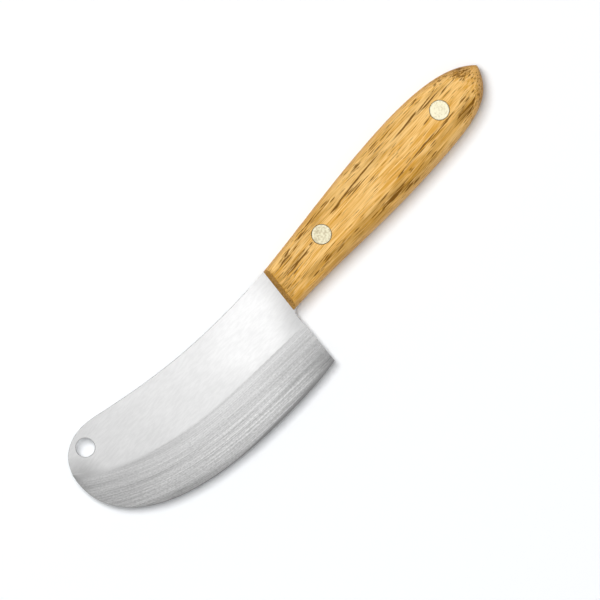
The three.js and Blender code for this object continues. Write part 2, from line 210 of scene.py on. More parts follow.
class Finishes(bpy.types.PropertyGroup):
    """Colours and roughness of the steel, the wood, the rivets and the floor"""

    steel: colour("Satin steel", "#E2E2E2", "Flat faces of the blade")
    steel_roughness: share("Satin roughness", 0.36, "Flat faces of the blade")
    grind_dark: colour("Grinding lines", "#CACACA", "Dark lines of the ground band")
    grind_light: colour("Ground steel", "#E8E8E8", "Light lines of the ground band")
    grind_roughness: share("Ground roughness", 0.36, "Ground band")
    # Partly painted shade: the honed colour is darker than the satin, in place of the darker reflection that
    # the tilted bevel sees
    bevel: colour("Honed steel", "#A0A0A0", "Sharpened bevel")
    bevel_roughness: share("Honed roughness", 0.34, "Sharpened bevel")
    # Painted shade: the rim is darker than the flat face, to show the shade along the sheet's rim and broken
    # edges
    rim: colour("Rim", "#CFCFCF", "Blanked and tumbled rim of the sheet")
    rim_roughness: share("Rim roughness", 0.45, "Rim of the sheet")
    wood_light: colour("Late wood", "#F8CC83", "Dense wood between the rows of pores")
    wood_deep: colour("Early wood", "#DAA041", "Open wood in the rows of pores")
    # Partly painted shade: along the lower side, the stain also paints the shade of the rounding that faces
    # away from the light
    wood_stain_and_shade: colour("Heart stain", "#A97A25", "Olive brown stain, mostly along both sides")
    wood_pore: colour("Pores", "#6E4504", "Open pores, filled with oil and dust")
    # Painted shade: darkens the wood where its surface turns away from straight up, along the rounded sides
    wood_side_shade: colour("Sides", "#C58A24", "Wood along the rounded sides, darkened by the hand")
    wood_end: colour("End grain", "#98640F", "Wood that is cut across")
    wood_roughness: share("Wood roughness", 0.5, "Sanded and oiled wood")
    wood_gloss: share("Wood gloss", 0.15, "Specular level of the oiled wood")
    rivet: colour("Rivet metal", "#EBE5C9", "Clean metal of the rivets")
    rivet_dull: colour("Rivet specks", "#D0C4A2", "Dull specks of the rivets")
    rivet_roughness: share("Rivet roughness", 0.4, "Rivet heads")
    floor: colour("Floor", "#F8FAFC", "Pale paper that the knife lies on")


class StageSizes(bpy.types.PropertyGroup):
    """Studio light and camera"""

    view_width: length("View width", 240 * MM, "Width of the picture at the blade")
    view_middle: reach("View middle", (-1.3 * MM, -1.64 * MM), "Place on the floor under the camera")
    view_turn: angle("View turn", -47.85, "Turn of the camera about the upright")
    view_distance: length("View distance", 6.0, "Camera above the blade")
    sensor: FloatProperty(name="Sensor", description="Width of the film", default=36, unit="CAMERA")
    floor_side: length("Floor side", 1.4, "Side of the floor")
    floor_glow: share("Floor glow", 0.03, "Light that the white paper adds towards the viewer")
    horizon: share("Horizon", 1.0, "Brightness of the studio around the floor")
    ceiling: share("Ceiling", 0.19, "Brightness of the studio above that")
    zenith: share("Zenith", 0.68, "Brightness of the studio straight overhead")
    key_power: power("Key power", 57.0, "Soft light from the spine side")
    key_size: reach("Key size", (0.6, 1.23), "Sides of the soft light from the spine side")
    key_distance: length("Key distance", 2.7, "That light, from the knife")
    key_tilt: angle("Key tilt", 11, "That light, from the upright")
    top_power: power("Top power", 0.5, "Soft light overhead")
    top_size: reach("Top size", (0.42, 0.34), "Sides of the soft light overhead")
    top_place: FloatVectorProperty(
        name="Top place",
        description="Middle of the soft light overhead",
        default=(0.12, 0.1, 0.45),
        subtype="XYZ_LENGTH",
    )
    wall_power: power("Wall power", 6.4, "Each of the four pale walls that the metal reflects")
    wall_size: reach("Wall size", (3.0, 1.05), "Width and height of those walls")
    wall_distance: length("Wall distance", 1.5, "Those walls, from the knife")
    wall_height: length("Wall height", 1.0, "Middle of those walls, above the floor")


class KnifeSettings(bpy.types.PropertyGroup):
    """All settings of the knife"""

    blade: PointerProperty(type=BladeSizes)
    handle: PointerProperty(type=HandleSizes)
    rivets: PointerProperty(type=RivetSizes)
    finish: PointerProperty(type=Finishes)
    stage: PointerProperty(type=StageSizes)


# Lines and meshes

CURVE_STEPS = 120
ROUND_STEPS = 72


def bezier(controls, t):
    """Point of the Bezier curve with these control points."""
    while len(controls) > 1:
        controls = [a.lerp(b, t) for a, b in zip(controls, controls[1:])]
    return controls[0]


def curve(controls, steps=CURVE_STEPS):
    """Points of the Bezier curve with these control points."""
    return [bezier(controls, step / steps) for step in range(steps + 1)]


def pulled(start, start_pull, end_pull, end):
    """Points of a curve between two ends, with a pull at each of them."""
    return curve([start, start + start_pull, end + end_pull, end])


def resample(points, steps):
    """The same flat line, cut into steps of equal length."""
    places = [0.0]
    for a, b in zip(points, points[1:]):
        places.append(places[-1] + (b - a).length)
    wanted = numpy.linspace(0, places[-1], steps + 1)
    along = numpy.interp(wanted, places, [point.x for point in points])
    across = numpy.interp(wanted, places, [point.y for point in points])
    return [Vector(pair) for pair in zip(along, across)]


def crossing(first, second):
    """First place where two flat lines cross: the index before it on each of them, and the point."""
    for i, (a, b) in enumerate(zip(first, first[1:])):
        for j, (c, d) in enumerate(zip(second, second[1:])):
            point = intersect_line_line_2d(a, b, c, d)
            if point is not None:
                return i, j, point
    raise ValueError("two lines of the blade do not cross")


def ramp(value, start, end):
    """Smooth step from 0 at the start to 1 at the end."""
    t = min(1.0, max(0.0, (value - start) / (end - start)))
    return t * t * (3 - 2 * t)


def circle(place, radius):
    """Points around a place, as (x, y)."""
    turns = [2 * math.pi * step / ROUND_STEPS for step in range(ROUND_STEPS)]
    return [(place.x + radius * math.cos(turn), place.y + radius * math.sin(turn)) for turn in turns]


def add_vertex(bm, x, y, z):
    """Corner at a place that is given from the drawing origin."""
    return bm.verts.new(ORIGIN + Vector((x, y, z)))


def add_face(bm, corners, material=0):
    """Face through these corners, with repeated corners taken once."""
    unlike = [corner for i, corner in enumerate(corners) if corner is not corners[i - 1]]
    if len(unlike) > 2:
        bm.faces.new(unlike).material_index = material


def bridge(bm, first, second, closed=False, material=0):
    """Strip of faces between two rows of corners."""
    for i in range(0 if closed else 1, len(first)):
        add_face(bm, [first[i - 1], first[i], second[i], second[i - 1]], material)


def finished_mesh(bm, name, creases=()):
    """Plain mesh with outward faces, smooth but for its creases and its corners."""
    bmesh.ops.recalc_face_normals(bm, faces=bm.faces)
    for face in bm.faces:
        face.smooth = True
    for edge in bm.edges:
        edge.smooth = edge.is_manifold and edge.calc_face_angle() < SHARP_ANGLE
    for edge in creases:
        edge.smooth = False
    mesh = bpy.data.meshes.new(name)
    bm.to_mesh(mesh)
    bm.free()
    return mesh


def finished_piece(name, mesh, materials, nodes):
    """Object for a mesh, dressed, riding on the knife's one body in place of its CAD nodes."""
    for material in materials:
        mesh.materials.append(material)
    piece = bpy.data.objects.new(name, mesh)
    bpy.context.scene.collection.objects.link(piece)
    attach(piece, "root")
    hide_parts(*nodes)


def shank_hole(rivets):
    """Radius of the holes that the rivets' shanks run through."""
    return rivets.pin_diameter / 2 + 2 * rivets.clearance + rivets.sleeve_wall


def handle_lines(handle):
    """Places along the handle with the heights of its top and bottom edge there, as (x, top, bottom)."""
    stock = Vector((-handle.front_stock, handle.front_top, -handle.front_bottom))
    widest = Vector((handle.widest_at, handle.top, -handle.bottom))
    half_blunt = handle.butt_blunt / 2
    point = Vector((handle.length, handle.butt_height + half_blunt, handle.butt_height - half_blunt))
    along = Vector((1, 0, 0))
    front_pull = Vector((handle.front_pull, handle.front_top_rise, handle.front_bottom_rise))
    top_pull = handle.butt_top_rise - half_blunt
    bottom_pull = half_blunt - handle.butt_bottom_drop
    butt_pull = Vector((-handle.butt_pull, top_pull, bottom_pull))
    front = pulled(stock, front_pull, -handle.widest_front_pull * along, widest)
    return front + pulled(widest, handle.widest_butt_pull * along, butt_pull, point)[1:]


# Nodes

def fill(tree, node, inputs):
    """Sets the inputs of a node, given in order or by name, to values or to outputs of other nodes."""
    for key, value in inputs.items() if isinstance(inputs, dict) else enumerate(inputs):
        if isinstance(value, bpy.types.NodeSocket):
            tree.links.new(value, node.inputs[key])
        else:
            node.inputs[key].default_value = value


def add(tree, kind, inputs=(), out=0, **settings):
    """Adds a node with its settings and inputs. Gives back one of its outputs, or the node if out is None."""
    node = tree.nodes.new(kind)
    for name, value in settings.items():
        setattr(node, name, value)
    fill(tree, node, inputs)
    return node if out is None else node.outputs[out]


# Blade

UPPER_STEPS = 170
NOSE_STEPS = 400
BAND_STEPS = 190
BAND_COLUMNS = 8
BEVEL_COLUMNS = 2
BEVEL_MOST = 0.25  # of the band's width
HEEL_STEPS = 24
FILLET_STEPS = 10
TANG_STRIDE = 5
LAY_STEPS = 320
LAY_LEAD = 40  # steps of the band's top line by which it is drawn out past the nose
# Where the broken edge starts and is full, from the start of its line, and how far before the end it fades
UPPER_FADES = (2 * MM, 5 * MM, 4 * MM)
HEEL_FADES = (0, 3 * MM, 2 * MM)
# Places in the blade's list of materials, after that of its flats
GROUND, BEVEL, RIM = 1, 2, 3


def blade_lines(blade, handle):
    """Flat lines of the blade: its rim above the band, the tops and feet of the band, the lay of its grinding
    lines, the rim behind the heel and around the tang, and the middle of the hanging hole."""
    tang = handle_lines(handle)
    spine_start = Vector((tang[0].x, tang[0].y))
    round_start = Vector((blade.nose_length - blade.length, blade.spine_height))
    run = Vector((-math.cos(blade.spine_angle), math.sin(blade.spine_angle)))
    nose_point = Vector((-blade.length, blade.nose_height))
    lowest = Vector((-blade.edge_lowest_at, -blade.edge_depth))
    heel_corner = Vector((-blade.heel_setback, blade.heel_rise - blade.edge_depth))
    heel_top = Vector((-blade.heel_top_setback, -handle.front_bottom))
    down_heel = (heel_corner - heel_top).normalized()
    along = Vector((1, 0))
    up = Vector((0, 1))

    spine = pulled(spine_start, -blade.spine_handle_pull * along, -blade.spine_nose_pull * run, round_start)
    nose = pulled(round_start, blade.nose_spine_pull * run, blade.nose_tip_pull * up, nose_point)
    belly = pulled(nose_point, -blade.belly_tip_pull * up, -blade.belly_heel_pull * along, lowest)
    heel = curve([lowest, lowest + blade.heel_pull * along, heel_corner])
    fillet_end = heel_top + blade.heel_fillet * along
    fillet = curve([heel_top + blade.heel_fillet * down_heel, heel_top, fillet_end], FILLET_STEPS)
    band_start = nose_point + blade.grind_start_rise * up
    band_heel = Vector((0, blade.grind_heel_height - blade.edge_depth))
    band = pulled(band_start, Vector(blade.grind_start_pull), Vector(blade.grind_heel_pull), band_heel)

    on_nose, on_band, tip = crossing(nose, band)
    band_last, _, band_end = crossing(band, [heel_corner, heel_top])
    nose_steps = resample(nose, NOSE_STEPS)
    nose_length = sum((b - a).length for a, b in zip(nose, nose[1:]))
    at_hole = round(NOSE_STEPS * blade.hole_along / nose_length)
    tangent = (nose_steps[at_hole + 1] - nose_steps[at_hole - 1]).normalized()
    inward = Vector((-tangent.y, tangent.x))
    tang_bottom = [Vector((x, bottom)) for x, _, bottom in tang[::TANG_STRIDE] if x > fillet_end.x]
    tang_top = [Vector((x, top)) for x, top, _ in tang[::-TANG_STRIDE]]
    return {
        "upper": resample(spine + nose[1 : on_nose + 1] + [tip], UPPER_STEPS),
        "tops": resample([tip] + band[on_band + 1 : band_last + 1] + [band_end], BAND_STEPS),
        "lay": resample([band[0] + LAY_LEAD * (band[0] - band[1])] + band, LAY_STEPS),
        "feet": resample([tip] + nose[on_nose + 1 :] + belly[1:] + heel[1:], BAND_STEPS),
        "behind": resample([band_end, fillet[0]], HEEL_STEPS) + fillet[1:],
        "tang": tang_bottom + tang_top[:-1],
        "hole": nose_steps[at_hole] + inward * (blade.hole_wall + blade.hole_diameter / 2),
    }


def band_section(blade, top, foot):
    """Points across the band, from its top to the edge: share of the way, and height above the middle."""
    width = (foot - top).length
    sharpness = ramp(top.x + blade.length, 0, blade.grind_fade)
    ground = 1 - max(0, 1 - width / blade.grind_full_width) ** 2
    widening = ramp(foot.x, -blade.bevel_wide_from, -blade.bevel_wide_to)
    bevel = blade.bevel_tip_width + (blade.bevel_width - blade.bevel_tip_width) * widening
    bevel = min(bevel, BEVEL_MOST * width)
    shoulder = width - bevel
    steepness = (blade.shoulder_thickness - blade.edge_thickness) / 2 / blade.bevel_width
    bevel_depth = ground * bevel * steepness * ramp(foot.x + blade.length, 0, blade.bevel_fade)
    shoulder_depth = ground * (HALF_SHEET - blade.edge_thickness / 2) - bevel_depth
    section = []
    for column in range(BAND_COLUMNS + 1):
        part = column / BAND_COLUMNS
        section.append((part * shoulder / width, HALF_SHEET - part ** (2 - sharpness) * shoulder_depth))
    for column in range(1, BEVEL_COLUMNS + 1):
        part = column / BEVEL_COLUMNS
        away = shoulder + part * (width - shoulder)
        section.append((away / width, HALF_SHEET - shoulder_depth - part * bevel_depth))
    return section


def beside(line, point):
    """How far along a line of equal steps a point lies, and how far from it, in millimetres."""
    gaps = [(spot - point).length for spot in line]
    nearest = min(gaps)
    return gaps.index(nearest) * (line[1] - line[0]).length / MM, nearest / MM


def chamfer_widths(points, chamfer, start, full, end):
    """Width of the broken edge at each point of a line, between its fades at both ends."""
    widths = []
    for point in points:
        from_start = (point - points[0]).length
        from_end = (point - points[-1]).length
        widths.append(chamfer * ramp(from_start, start, full) * ramp(from_end, 0, end))
    return widths


def blade_side(bm, side, settings, lines, creases):
    """One face of the sheet. Gives back the loops of corners where the walls start."""
    grinding = bm.verts.layers.float_vector["grinding"]
    blade = settings.blade
    inner = []
    rim = []

    def broken_edge(points, widths):
        """Adds corners along a line of the rim, and along the inner side of its broken edge."""
        for i, (point, width) in enumerate(zip(points, widths)):
            run = (points[min(i + 1, len(points) - 1)] - points[max(i - 1, 0)]).normalized()
            inside = point + Vector((-run.y, run.x)) * width
            rim.append(add_vertex(bm, *point, side * (HALF_SHEET - width)))
            inner.append(add_vertex(bm, *inside, side * HALF_SHEET) if width > 0 else rim[-1])

    # Spine and nose, up to the tip of the band
    upper = lines["upper"]
    broken_edge(upper, chamfer_widths(upper, blade.rim_chamfer, *UPPER_FADES))
    tip = rim[-1]

    # Ground band and bevel
    columns = BAND_COLUMNS + BEVEL_COLUMNS + 1
    rows = [[tip] * columns]
    for i in range(1, len(lines["tops"])):
        top, foot = lines["tops"][i], lines["feet"][i]
        row = []
        for part, height in band_section(blade, top, foot):
            spot = top.lerp(foot, part)
            corner = add_vertex(bm, *spot, side * height)
            corner[grinding] = (*beside(lines["lay"], spot), (foot - spot).length / MM)
            row.append(corner)
        rows.append(row)
    for before, after in zip(rows, rows[1:]):
        bridge(bm, before[: BAND_COLUMNS + 1], after[: BAND_COLUMNS + 1], material=GROUND)
        bridge(bm, before[BAND_COLUMNS:], after[BAND_COLUMNS:], material=BEVEL)
    for column in (0, BAND_COLUMNS):
        creases += [bm.edges.get((a[column], b[column])) for a, b in zip(rows, rows[1:])]
    rim += [row[-1] for row in rows[1:]] + rows[-1][-2::-1]
    band_corners = len(rows) + columns - 2
    inner += [None] * band_corners

    # Heel line above the band, and the tang
    behind = lines["behind"]
    behind_widths = chamfer_widths(behind, blade.rim_chamfer, *HEEL_FADES)
    broken_edge(behind[1:], behind_widths[1:])
    broken_edge(lines["tang"], [0] * len(lines["tang"]))
    for i, corner in enumerate(rim):
        if inner[i - 1] is not None and inner[i] is not None:
            add_face(bm, [rim[i - 1], corner, inner[i], inner[i - 1]], RIM)
    first_behind = len(rim) - len(lines["tang"]) - len(behind) + 1
    add_face(bm, [rows[-1][0], rim[first_behind], inner[first_behind]], RIM)

    # Flat face, with its holes
    above = inner[: len(upper)]
    below = inner[len(upper) + band_corners :]
    loops = [above + [row[0] for row in rows[1:]] + below]
    walls = [rim]
    holes = [(lines["hole"], blade.hole_diameter / 2, blade.hole_chamfer)]
    holes += [(place, shank_hole(settings.rivets), 0) for place in RIVET_PLACES]
    for place, radius, chamfer in holes:
        wall = [add_vertex(bm, x, y, side * (HALF_SHEET - chamfer)) for x, y in circle(place, radius)]
        flat = wall
        if chamfer > 0:
            flat = [add_vertex(bm, x, y, side * HALF_SHEET) for x, y in circle(place, radius + chamfer)]
            bridge(bm, wall, flat, closed=True, material=RIM)
        loops.append(flat)
        walls.append(wall)
    pairs = [pair for loop in loops for pair in zip(loop, loop[1:] + loop[:1])]
    border = [bm.edges.get(pair) or bm.edges.new(pair) for pair in pairs]
    bmesh.ops.triangle_fill(bm, use_beauty=True, edges=border, normal=(0, 0, side))
    return walls


class CHEESE_KNIFE_OT_blade(bpy.types.Operator):
    """Make the blade and its tang from one ground steel sheet"""

    bl_idname = "cheese_knife.blade"
    bl_label = "Blade"

    def execute(self, context):
        settings = context.scene.cheese_knife
        lines = blade_lines(settings.blade, settings.handle)
        bm = bmesh.new()
        bm.verts.layers.float_vector.new("grinding")
        creases = []
        near = blade_side(bm, 1, settings, lines, creases)
        far = blade_side(bm, -1, settings, lines, creases)
        for near_wall, far_wall in zip(near, far):
            bridge(bm, near_wall, far_wall, closed=True, material=RIM)
        mesh = finished_mesh(bm, "blade", creases)
        steels = [make(settings.finish) for make in (satin_steel, ground_steel, honed_steel, rim_steel_painted_shade)]
        finished_piece("blade_sheet", mesh, steels, ["blade"])
        return {"FINISHED"}


# Scales

SCALE_STEPS = 110
ROUNDING_STEPS = 12
FACE_STEPS = 8
RIM_STEPS = 4
FRONT_ROUNDS = 12


def scale_places():
    """Turns of the top rounding, then places across the face, then turns of the bottom rounding."""
    turns = [step / ROUNDING_STEPS * math.pi / 2 for step in range(ROUNDING_STEPS + 1)]
    places = [("top", None)] + [("top", turn) for turn in turns]
    places += [("face", step / FACE_STEPS) for step in range(1, FACE_STEPS)]
    places += [("bottom", turn) for turn in reversed(turns)] + [("bottom", None)]
    return places


def scale_point(handle, lines, x, place):
    """Point of the near scale's skin at one place of its section, x along the handle."""
    top = float(numpy.interp(x, lines[0], lines[1]))
    bottom = float(numpy.interp(x, lines[0], lines[2]))
    to_butt = min(1.0, max(0.0, 1 - (handle.length - x) / handle.dome_length))
    wood = HALF_HANDLE - HALF_SHEET
    face = HALF_SHEET + handle.butt_wood + (wood - handle.butt_wood) * math.sqrt(1 - to_butt * to_butt)
    land = HALF_SHEET + handle.side_land
    widening = ramp(x, 0, handle.widest_at)
    rounding = handle.front_rounding + (handle.rounding - handle.front_rounding) * widening
    rounding = min(rounding, handle.rounding_most * (top - bottom) / 2)
    side, turn = place
    if side == "face":
        return Vector((x, top - rounding - turn * (top - bottom - 2 * rounding), face))
    edge, inward = (top, -1) if side == "top" else (bottom, 1)
    if turn is None:
        return Vector((x, edge, HALF_SHEET))
    return Vector((x, edge + inward * rounding * (1 - math.cos(turn)), land + (face - land) * math.sin(turn)))


def front_point(handle, lines, place):
    """Point of that place's line on the slanted and sloped front, found in a few rounds."""
    x = 0.0
    for _ in range(FRONT_ROUNDS):
        point = scale_point(handle, lines, x, place)
        x = math.tan(handle.front_slant) * point.y + math.tan(handle.front_slope) * (point.z - HALF_SHEET)
    return scale_point(handle, lines, x, place)


def scale_rings(handle):
    """Rings of points around the near scale, from its front to its butt."""
    lines = list(zip(*handle_lines(handle)))
    places = scale_places()
    corner = [front_point(handle, lines, place) for place in places]
    behind = []
    for point, place in zip(corner, places):
        behind.append(scale_point(handle, lines, point.x + handle.front_rim, place))
    front_normal = (corner[-1] - corner[0]).cross(corner[len(corner) // 2] - corner[0]).normalized()
    inside = []
    for i, point in enumerate(corner):
        if i in (0, len(corner) - 1):
            inward = (corner[-1 - i] - point).normalized()
        else:
            run = (corner[i + 1] - corner[i - 1]).normalized()
            inward = run.cross(front_normal)
        inside.append(point + inward * handle.front_rim)
    rings = []
    for step in range(RIM_STEPS + 1):
        part = step / RIM_STEPS
        rings.append([bezier([a, b, c], part) for a, b, c in zip(inside, corner, behind)])
    for step in range(1, SCALE_STEPS + 1):
        part = math.sin(step / SCALE_STEPS * math.pi / 2)
        ring = []
        for start, place in zip(behind, places):
            ring.append(scale_point(handle, lines, start.x + part * (handle.length - start.x), place))
        rings.append(ring)
    return rings


def drilled(mesh, side, rivets):
    """The scale with its rivet holes: a bore for the shank and a wider seat for the head."""
    shank = shank_hole(rivets)
    head = rivets.head_diameter / 2 + rivets.clearance
    seat = HALF_HANDLE - rivets.head_height
    outside = 2 * HALF_HANDLE
    profile = [(shank, 0), (shank, seat), (head, seat), (head, outside)]
    bm = bmesh.new()
    for place in RIVET_PLACES:
        rings = [[add_vertex(bm, x, y, side * z) for x, y in circle(place, radius)] for radius, z in profile]
        for first, second in zip(rings, rings[1:]):
            bridge(bm, first, second, closed=True)
        bm.faces.new(rings[0])
        bm.faces.new(rings[-1])
    cutter = bpy.data.objects.new("drill", finished_mesh(bm, "drill"))
    wood = bpy.data.objects.new("wood", mesh)
    for thing in (cutter, wood):
        bpy.context.scene.collection.objects.link(thing)
    cut = wood.modifiers.new("bores", "BOOLEAN")
    cut.operation = "DIFFERENCE"
    cut.solver = "EXACT"
    cut.object = cutter
    graph = bpy.context.evaluated_depsgraph_get()
    result = bpy.data.meshes.new_from_object(wood.evaluated_get(graph), depsgraph=graph)
    for thing in (cutter, wood):
        bpy.data.objects.remove(thing)
    return result


class CHEESE_KNIFE_OT_scales(bpy.types.Operator):
    """Make the two wooden scales, mirrored in the sheet's middle plane"""

    bl_idname = "cheese_knife.scales"
    bl_label = "Scales"

    def execute(self, context):
        settings = context.scene.cheese_knife
        wood = oiled_ash(settings.finish)
        rings = scale_rings(settings.handle)
        for name, side in (("near_scale", 1), ("far_scale", -1)):
            bm = bmesh.new()
            rows = [[add_vertex(bm, p.x, p.y, side * p.z) for p in ring] for ring in rings]
            for first, second in zip(rows, rows[1:]):
                bridge(bm, first, second)
                add_face(bm, [first[0], second[0], second[-1], first[-1]])
            for row in (rows[0], rows[-1]):
                middle = bm.verts.new(sum((vertex.co for vertex in row), Vector()) / len(row))
                for first, second in zip(row, row[1:] + row[:1]):
                    add_face(bm, [first, second, middle])
            block = finished_mesh(bm, name)
            bm = bmesh.new()
            bm.from_mesh(drilled(block, side, settings.rivets))
            mesh = finished_mesh(bm, name)
            finished_piece(name + "_wood", mesh, [wood], [name])
        return {"FINISHED"}


# Rivets

# Shares of a head's rounded rim, from its outside: the middle of the rounding, and the end of the flat ring
# beside it
QUARTER_ROUND = 1 - math.sqrt(0.5)
FACE_RING = 1.4
MERGE_DISTANCE = 0.01 * MM
RIVET_LENGTHS = (
    "Head Radius",
    "Shank Radius",
    "Bore Radius",
    "Pin Radius",
    "Face",
    "Seat",
    "Bore Top",
    "Pin End",
    "Sleeve End",
    "Rim",
)


def rivet_tree():
    """Node tree that turns both halves of a rivet and sets them on every point of its geometry."""
    tree = bpy.data.node_groups.new("Handle rivets", "GeometryNodeTree")
    sockets = [("Geometry", "INPUT", "Geometry"), ("Geometry", "OUTPUT", "Geometry")]
    sockets += [(name, "INPUT", "Float") for name in RIVET_LENGTHS]
    sockets += [("Sides", "INPUT", "Int"), ("Material", "INPUT", "Material")]
    for name, way, kind in sockets:
        socket = tree.interface.new_socket(name, in_out=way, socket_type="NodeSocket" + kind)
        if kind == "Float":
            socket.subtype = "DISTANCE"
    given = add(tree, "NodeGroupInput", out=None).outputs

    def turned(profile):
        """Round shape with this profile of (radius, height) pairs, from a plain tube with as many rows."""
        last = len(profile) - 1
        tube = add(
            tree,
            "GeometryNodeMeshCylinder",
            {"Vertices": given["Sides"], "Side Segments": last, "Radius": 1, "Depth": last},
            out="Mesh",
            fill_type="NONE",
        )
        place = add(tree, "GeometryNodeInputPosition")
        along, across, up = add(tree, "ShaderNodeSeparateXYZ", [place], out=None).outputs
        row = add(tree, "ShaderNodeMath", [up, last / 2], operation="ADD")
        index = add(tree, "FunctionNodeFloatToInt", [row], rounding_mode="ROUND")
        switch = add(tree, "GeometryNodeIndexSwitch", out=None, data_type="VECTOR")
        while len(switch.index_switch_items) <= last:
            switch.index_switch_items.new()
        fill(tree, switch, {"Index": index})
        for i, (radius, height) in enumerate(profile):
            fill(tree, switch, {str(i): add(tree, "ShaderNodeCombineXYZ", [radius, radius, height])})
        upright = add(tree, "ShaderNodeCombineXYZ", [along, across, 1])
        spot = add(tree, "ShaderNodeVectorMath", [upright, switch.outputs[0]], operation="MULTIPLY")
        shaped = add(tree, "GeometryNodeSetPosition", {"Geometry": tube, "Position": spot})
        return add(tree, "GeometryNodeMergeByDistance", {"Geometry": shaped, "Distance": MERGE_DISTANCE})

    lengths = [given[name] for name in RIVET_LENGTHS]
    head, shank, bore, pin, face, seat, bore_top, pin_end, sleeve_end, rim = lengths
    part_rim, wide_rim = (
        add(tree, "ShaderNodeMath", [rim, part], operation="MULTIPLY")
        for part in (QUARTER_ROUND, FACE_RING)
    )
    head_mid, head_in, head_flat, face_low, face_mid = (
        add(tree, "ShaderNodeMath", [whole, taken], operation="SUBTRACT")
        for whole, taken in ((head, part_rim), (head, rim), (head, wide_rim), (face, rim), (face, part_rim))
    )
    rounded = [(head, seat), (head, face_low), (head_mid, face_mid), (head_in, face)]
    flush_head = rounded + [(head_flat, face), (0, face)]
    tube = [(0, bore_top), (bore, bore_top), (bore, sleeve_end), (shank, sleeve_end), (shank, seat)]
    sleeve = turned(tube + flush_head)
    upside = turned([(0, pin_end), (pin, pin_end), (pin, seat)] + flush_head)
    solid = add(tree, "GeometryNodeTransform", {"Geometry": upside, "Rotation": [math.pi, 0, 0]})
    both = add(tree, "GeometryNodeJoinGeometry", out=None)
    for half in (sleeve, solid):
        fill(tree, both, [half])
    at_points = {"Points": given["Geometry"], "Instance": both.outputs[0]}
    placed = add(tree, "GeometryNodeInstanceOnPoints", at_points)
    real = add(tree, "GeometryNodeRealizeInstances", [placed])
    dressed = add(tree, "GeometryNodeSetMaterial", {"Geometry": real, "Material": given["Material"]})
    add(tree, "NodeGroupOutput", {"Geometry": dressed}, out=None)
    return tree


class CHEESE_KNIFE_OT_rivets(bpy.types.Operator):
    """Make the two-part rivets that clamp the scales to the tang"""

    bl_idname = "cheese_knife.rivets"
    bl_label = "Rivets"

    def execute(self, context):
        settings = context.scene.cheese_knife
        rivets = settings.rivets
        bore = rivets.pin_diameter / 2 + rivets.clearance
        seat = HALF_HANDLE - rivets.head_height
        bore_top = seat - rivets.roof
        metal = sanded_aluminium(settings.finish)
        values = {
            "Head Radius": rivets.head_diameter / 2,
            "Shank Radius": bore + rivets.sleeve_wall,
            "Bore Radius": bore,
            "Pin Radius": rivets.pin_diameter / 2,
            "Face": HALF_HANDLE,
            "Seat": seat,
            "Bore Top": bore_top,
            "Pin End": rivets.end_gap - bore_top,
            "Sleeve End": rivets.end_gap - seat,
            "Rim": rivets.rim,
            "Sides": rivets.sides,
            "Material": metal,
        }
        points = bpy.data.meshes.new("rivet_places")
        points.from_pydata([ORIGIN + Vector((place.x, place.y, 0)) for place in RIVET_PLACES], [], [])
        maker = bpy.data.objects.new("rivet_places", points)
        context.scene.collection.objects.link(maker)
        modifier = maker.modifiers.new("rivets", "NODES")
        modifier.node_group = rivet_tree()
        for item in modifier.node_group.interface.items_tree:
            if item.in_out == "INPUT" and item.name in values:
                modifier[item.identifier] = values[item.name]
        graph = context.evaluated_depsgraph_get()
        made = bpy.data.meshes.new_from_object(maker.evaluated_get(graph), depsgraph=graph)
        bpy.data.objects.remove(maker)
        bm = bmesh.new()
        bm.from_mesh(made)
        mesh = finished_mesh(bm, "handle_rivets")
        nodes = ["front_rivet_sleeve", "front_rivet_pin", "rear_rivet_sleeve", "rear_rivet_pin"]
        finished_piece("handle_rivets", mesh, [metal], nodes)
        return {"FINISHED"}


# Materials

PER_MM = 1 / MM
SPOT_HEIGHT = 1000  # half the height of a spot, past all of the knife's, in millimetres


def new_material(name):
    """Material with a bare shader: the material, its node tree and the shader."""
    material = bpy.data.materials.new(name)
    material.use_nodes = True
    return material, material.node_tree, material.node_tree.nodes["Principled BSDF"]


def drawing_place(tree):
    """Place on the knife, in millimetres from the drawing origin."""
    place = add(tree, "ShaderNodeTexCoord", out="Object")
    from_origin = {"Vector": place, "Location": -PER_MM * ORIGIN, "Scale": [PER_MM] * 3}
    return add(tree, "ShaderNodeMapping", from_origin)


def patchy(tree, place, sizes, detail, out="Fac"):
    """Uneven value, with patches of these millimetres along the axes, and even along an infinite one."""
    spread = add(tree, "ShaderNodeMapping", {"Vector": place, "Scale": [1 / size for size in sizes]})
    return add(tree, "ShaderNodeTexNoise", {"Vector": spread, "Scale": 1, "Detail": detail}, out)


def spots(tree, place, table):
    """Sum of soft long spots in millimetres, each with its middle along and across the knife, half its
    length, half its width, a turn in degrees and a strength."""
    total = 0.0
    for along, across, half_length, half_width, turn, strength in table:
        ellipse = {
            "Vector": place,
            "Location": [along, across, 0],
            "Rotation": [0, 0, math.radians(turn)],
            "Scale": [half_length, half_width, SPOT_HEIGHT],
        }
        centred = add(tree, "ShaderNodeMapping", ellipse, vector_type="TEXTURE")
        spot = add(tree, "ShaderNodeTexGradient", [centred], "Fac", gradient_type="SPHERICAL")
        total = add(tree, "ShaderNodeMath", [spot, strength, total], operation="MULTIPLY_ADD")
    return total


def toned(tree, shade, rows):
    """Scales a colour. Each row has a value, where it starts and ends to count, and the scale at both."""
    for row in rows:
        tone = add(tree, "ShaderNodeMapRange", row, interpolation_type="SMOOTHSTEP")
        shade = add(tree, "ShaderNodeVectorMath", {0: shade, "Scale": tone}, operation="SCALE")
    return shade


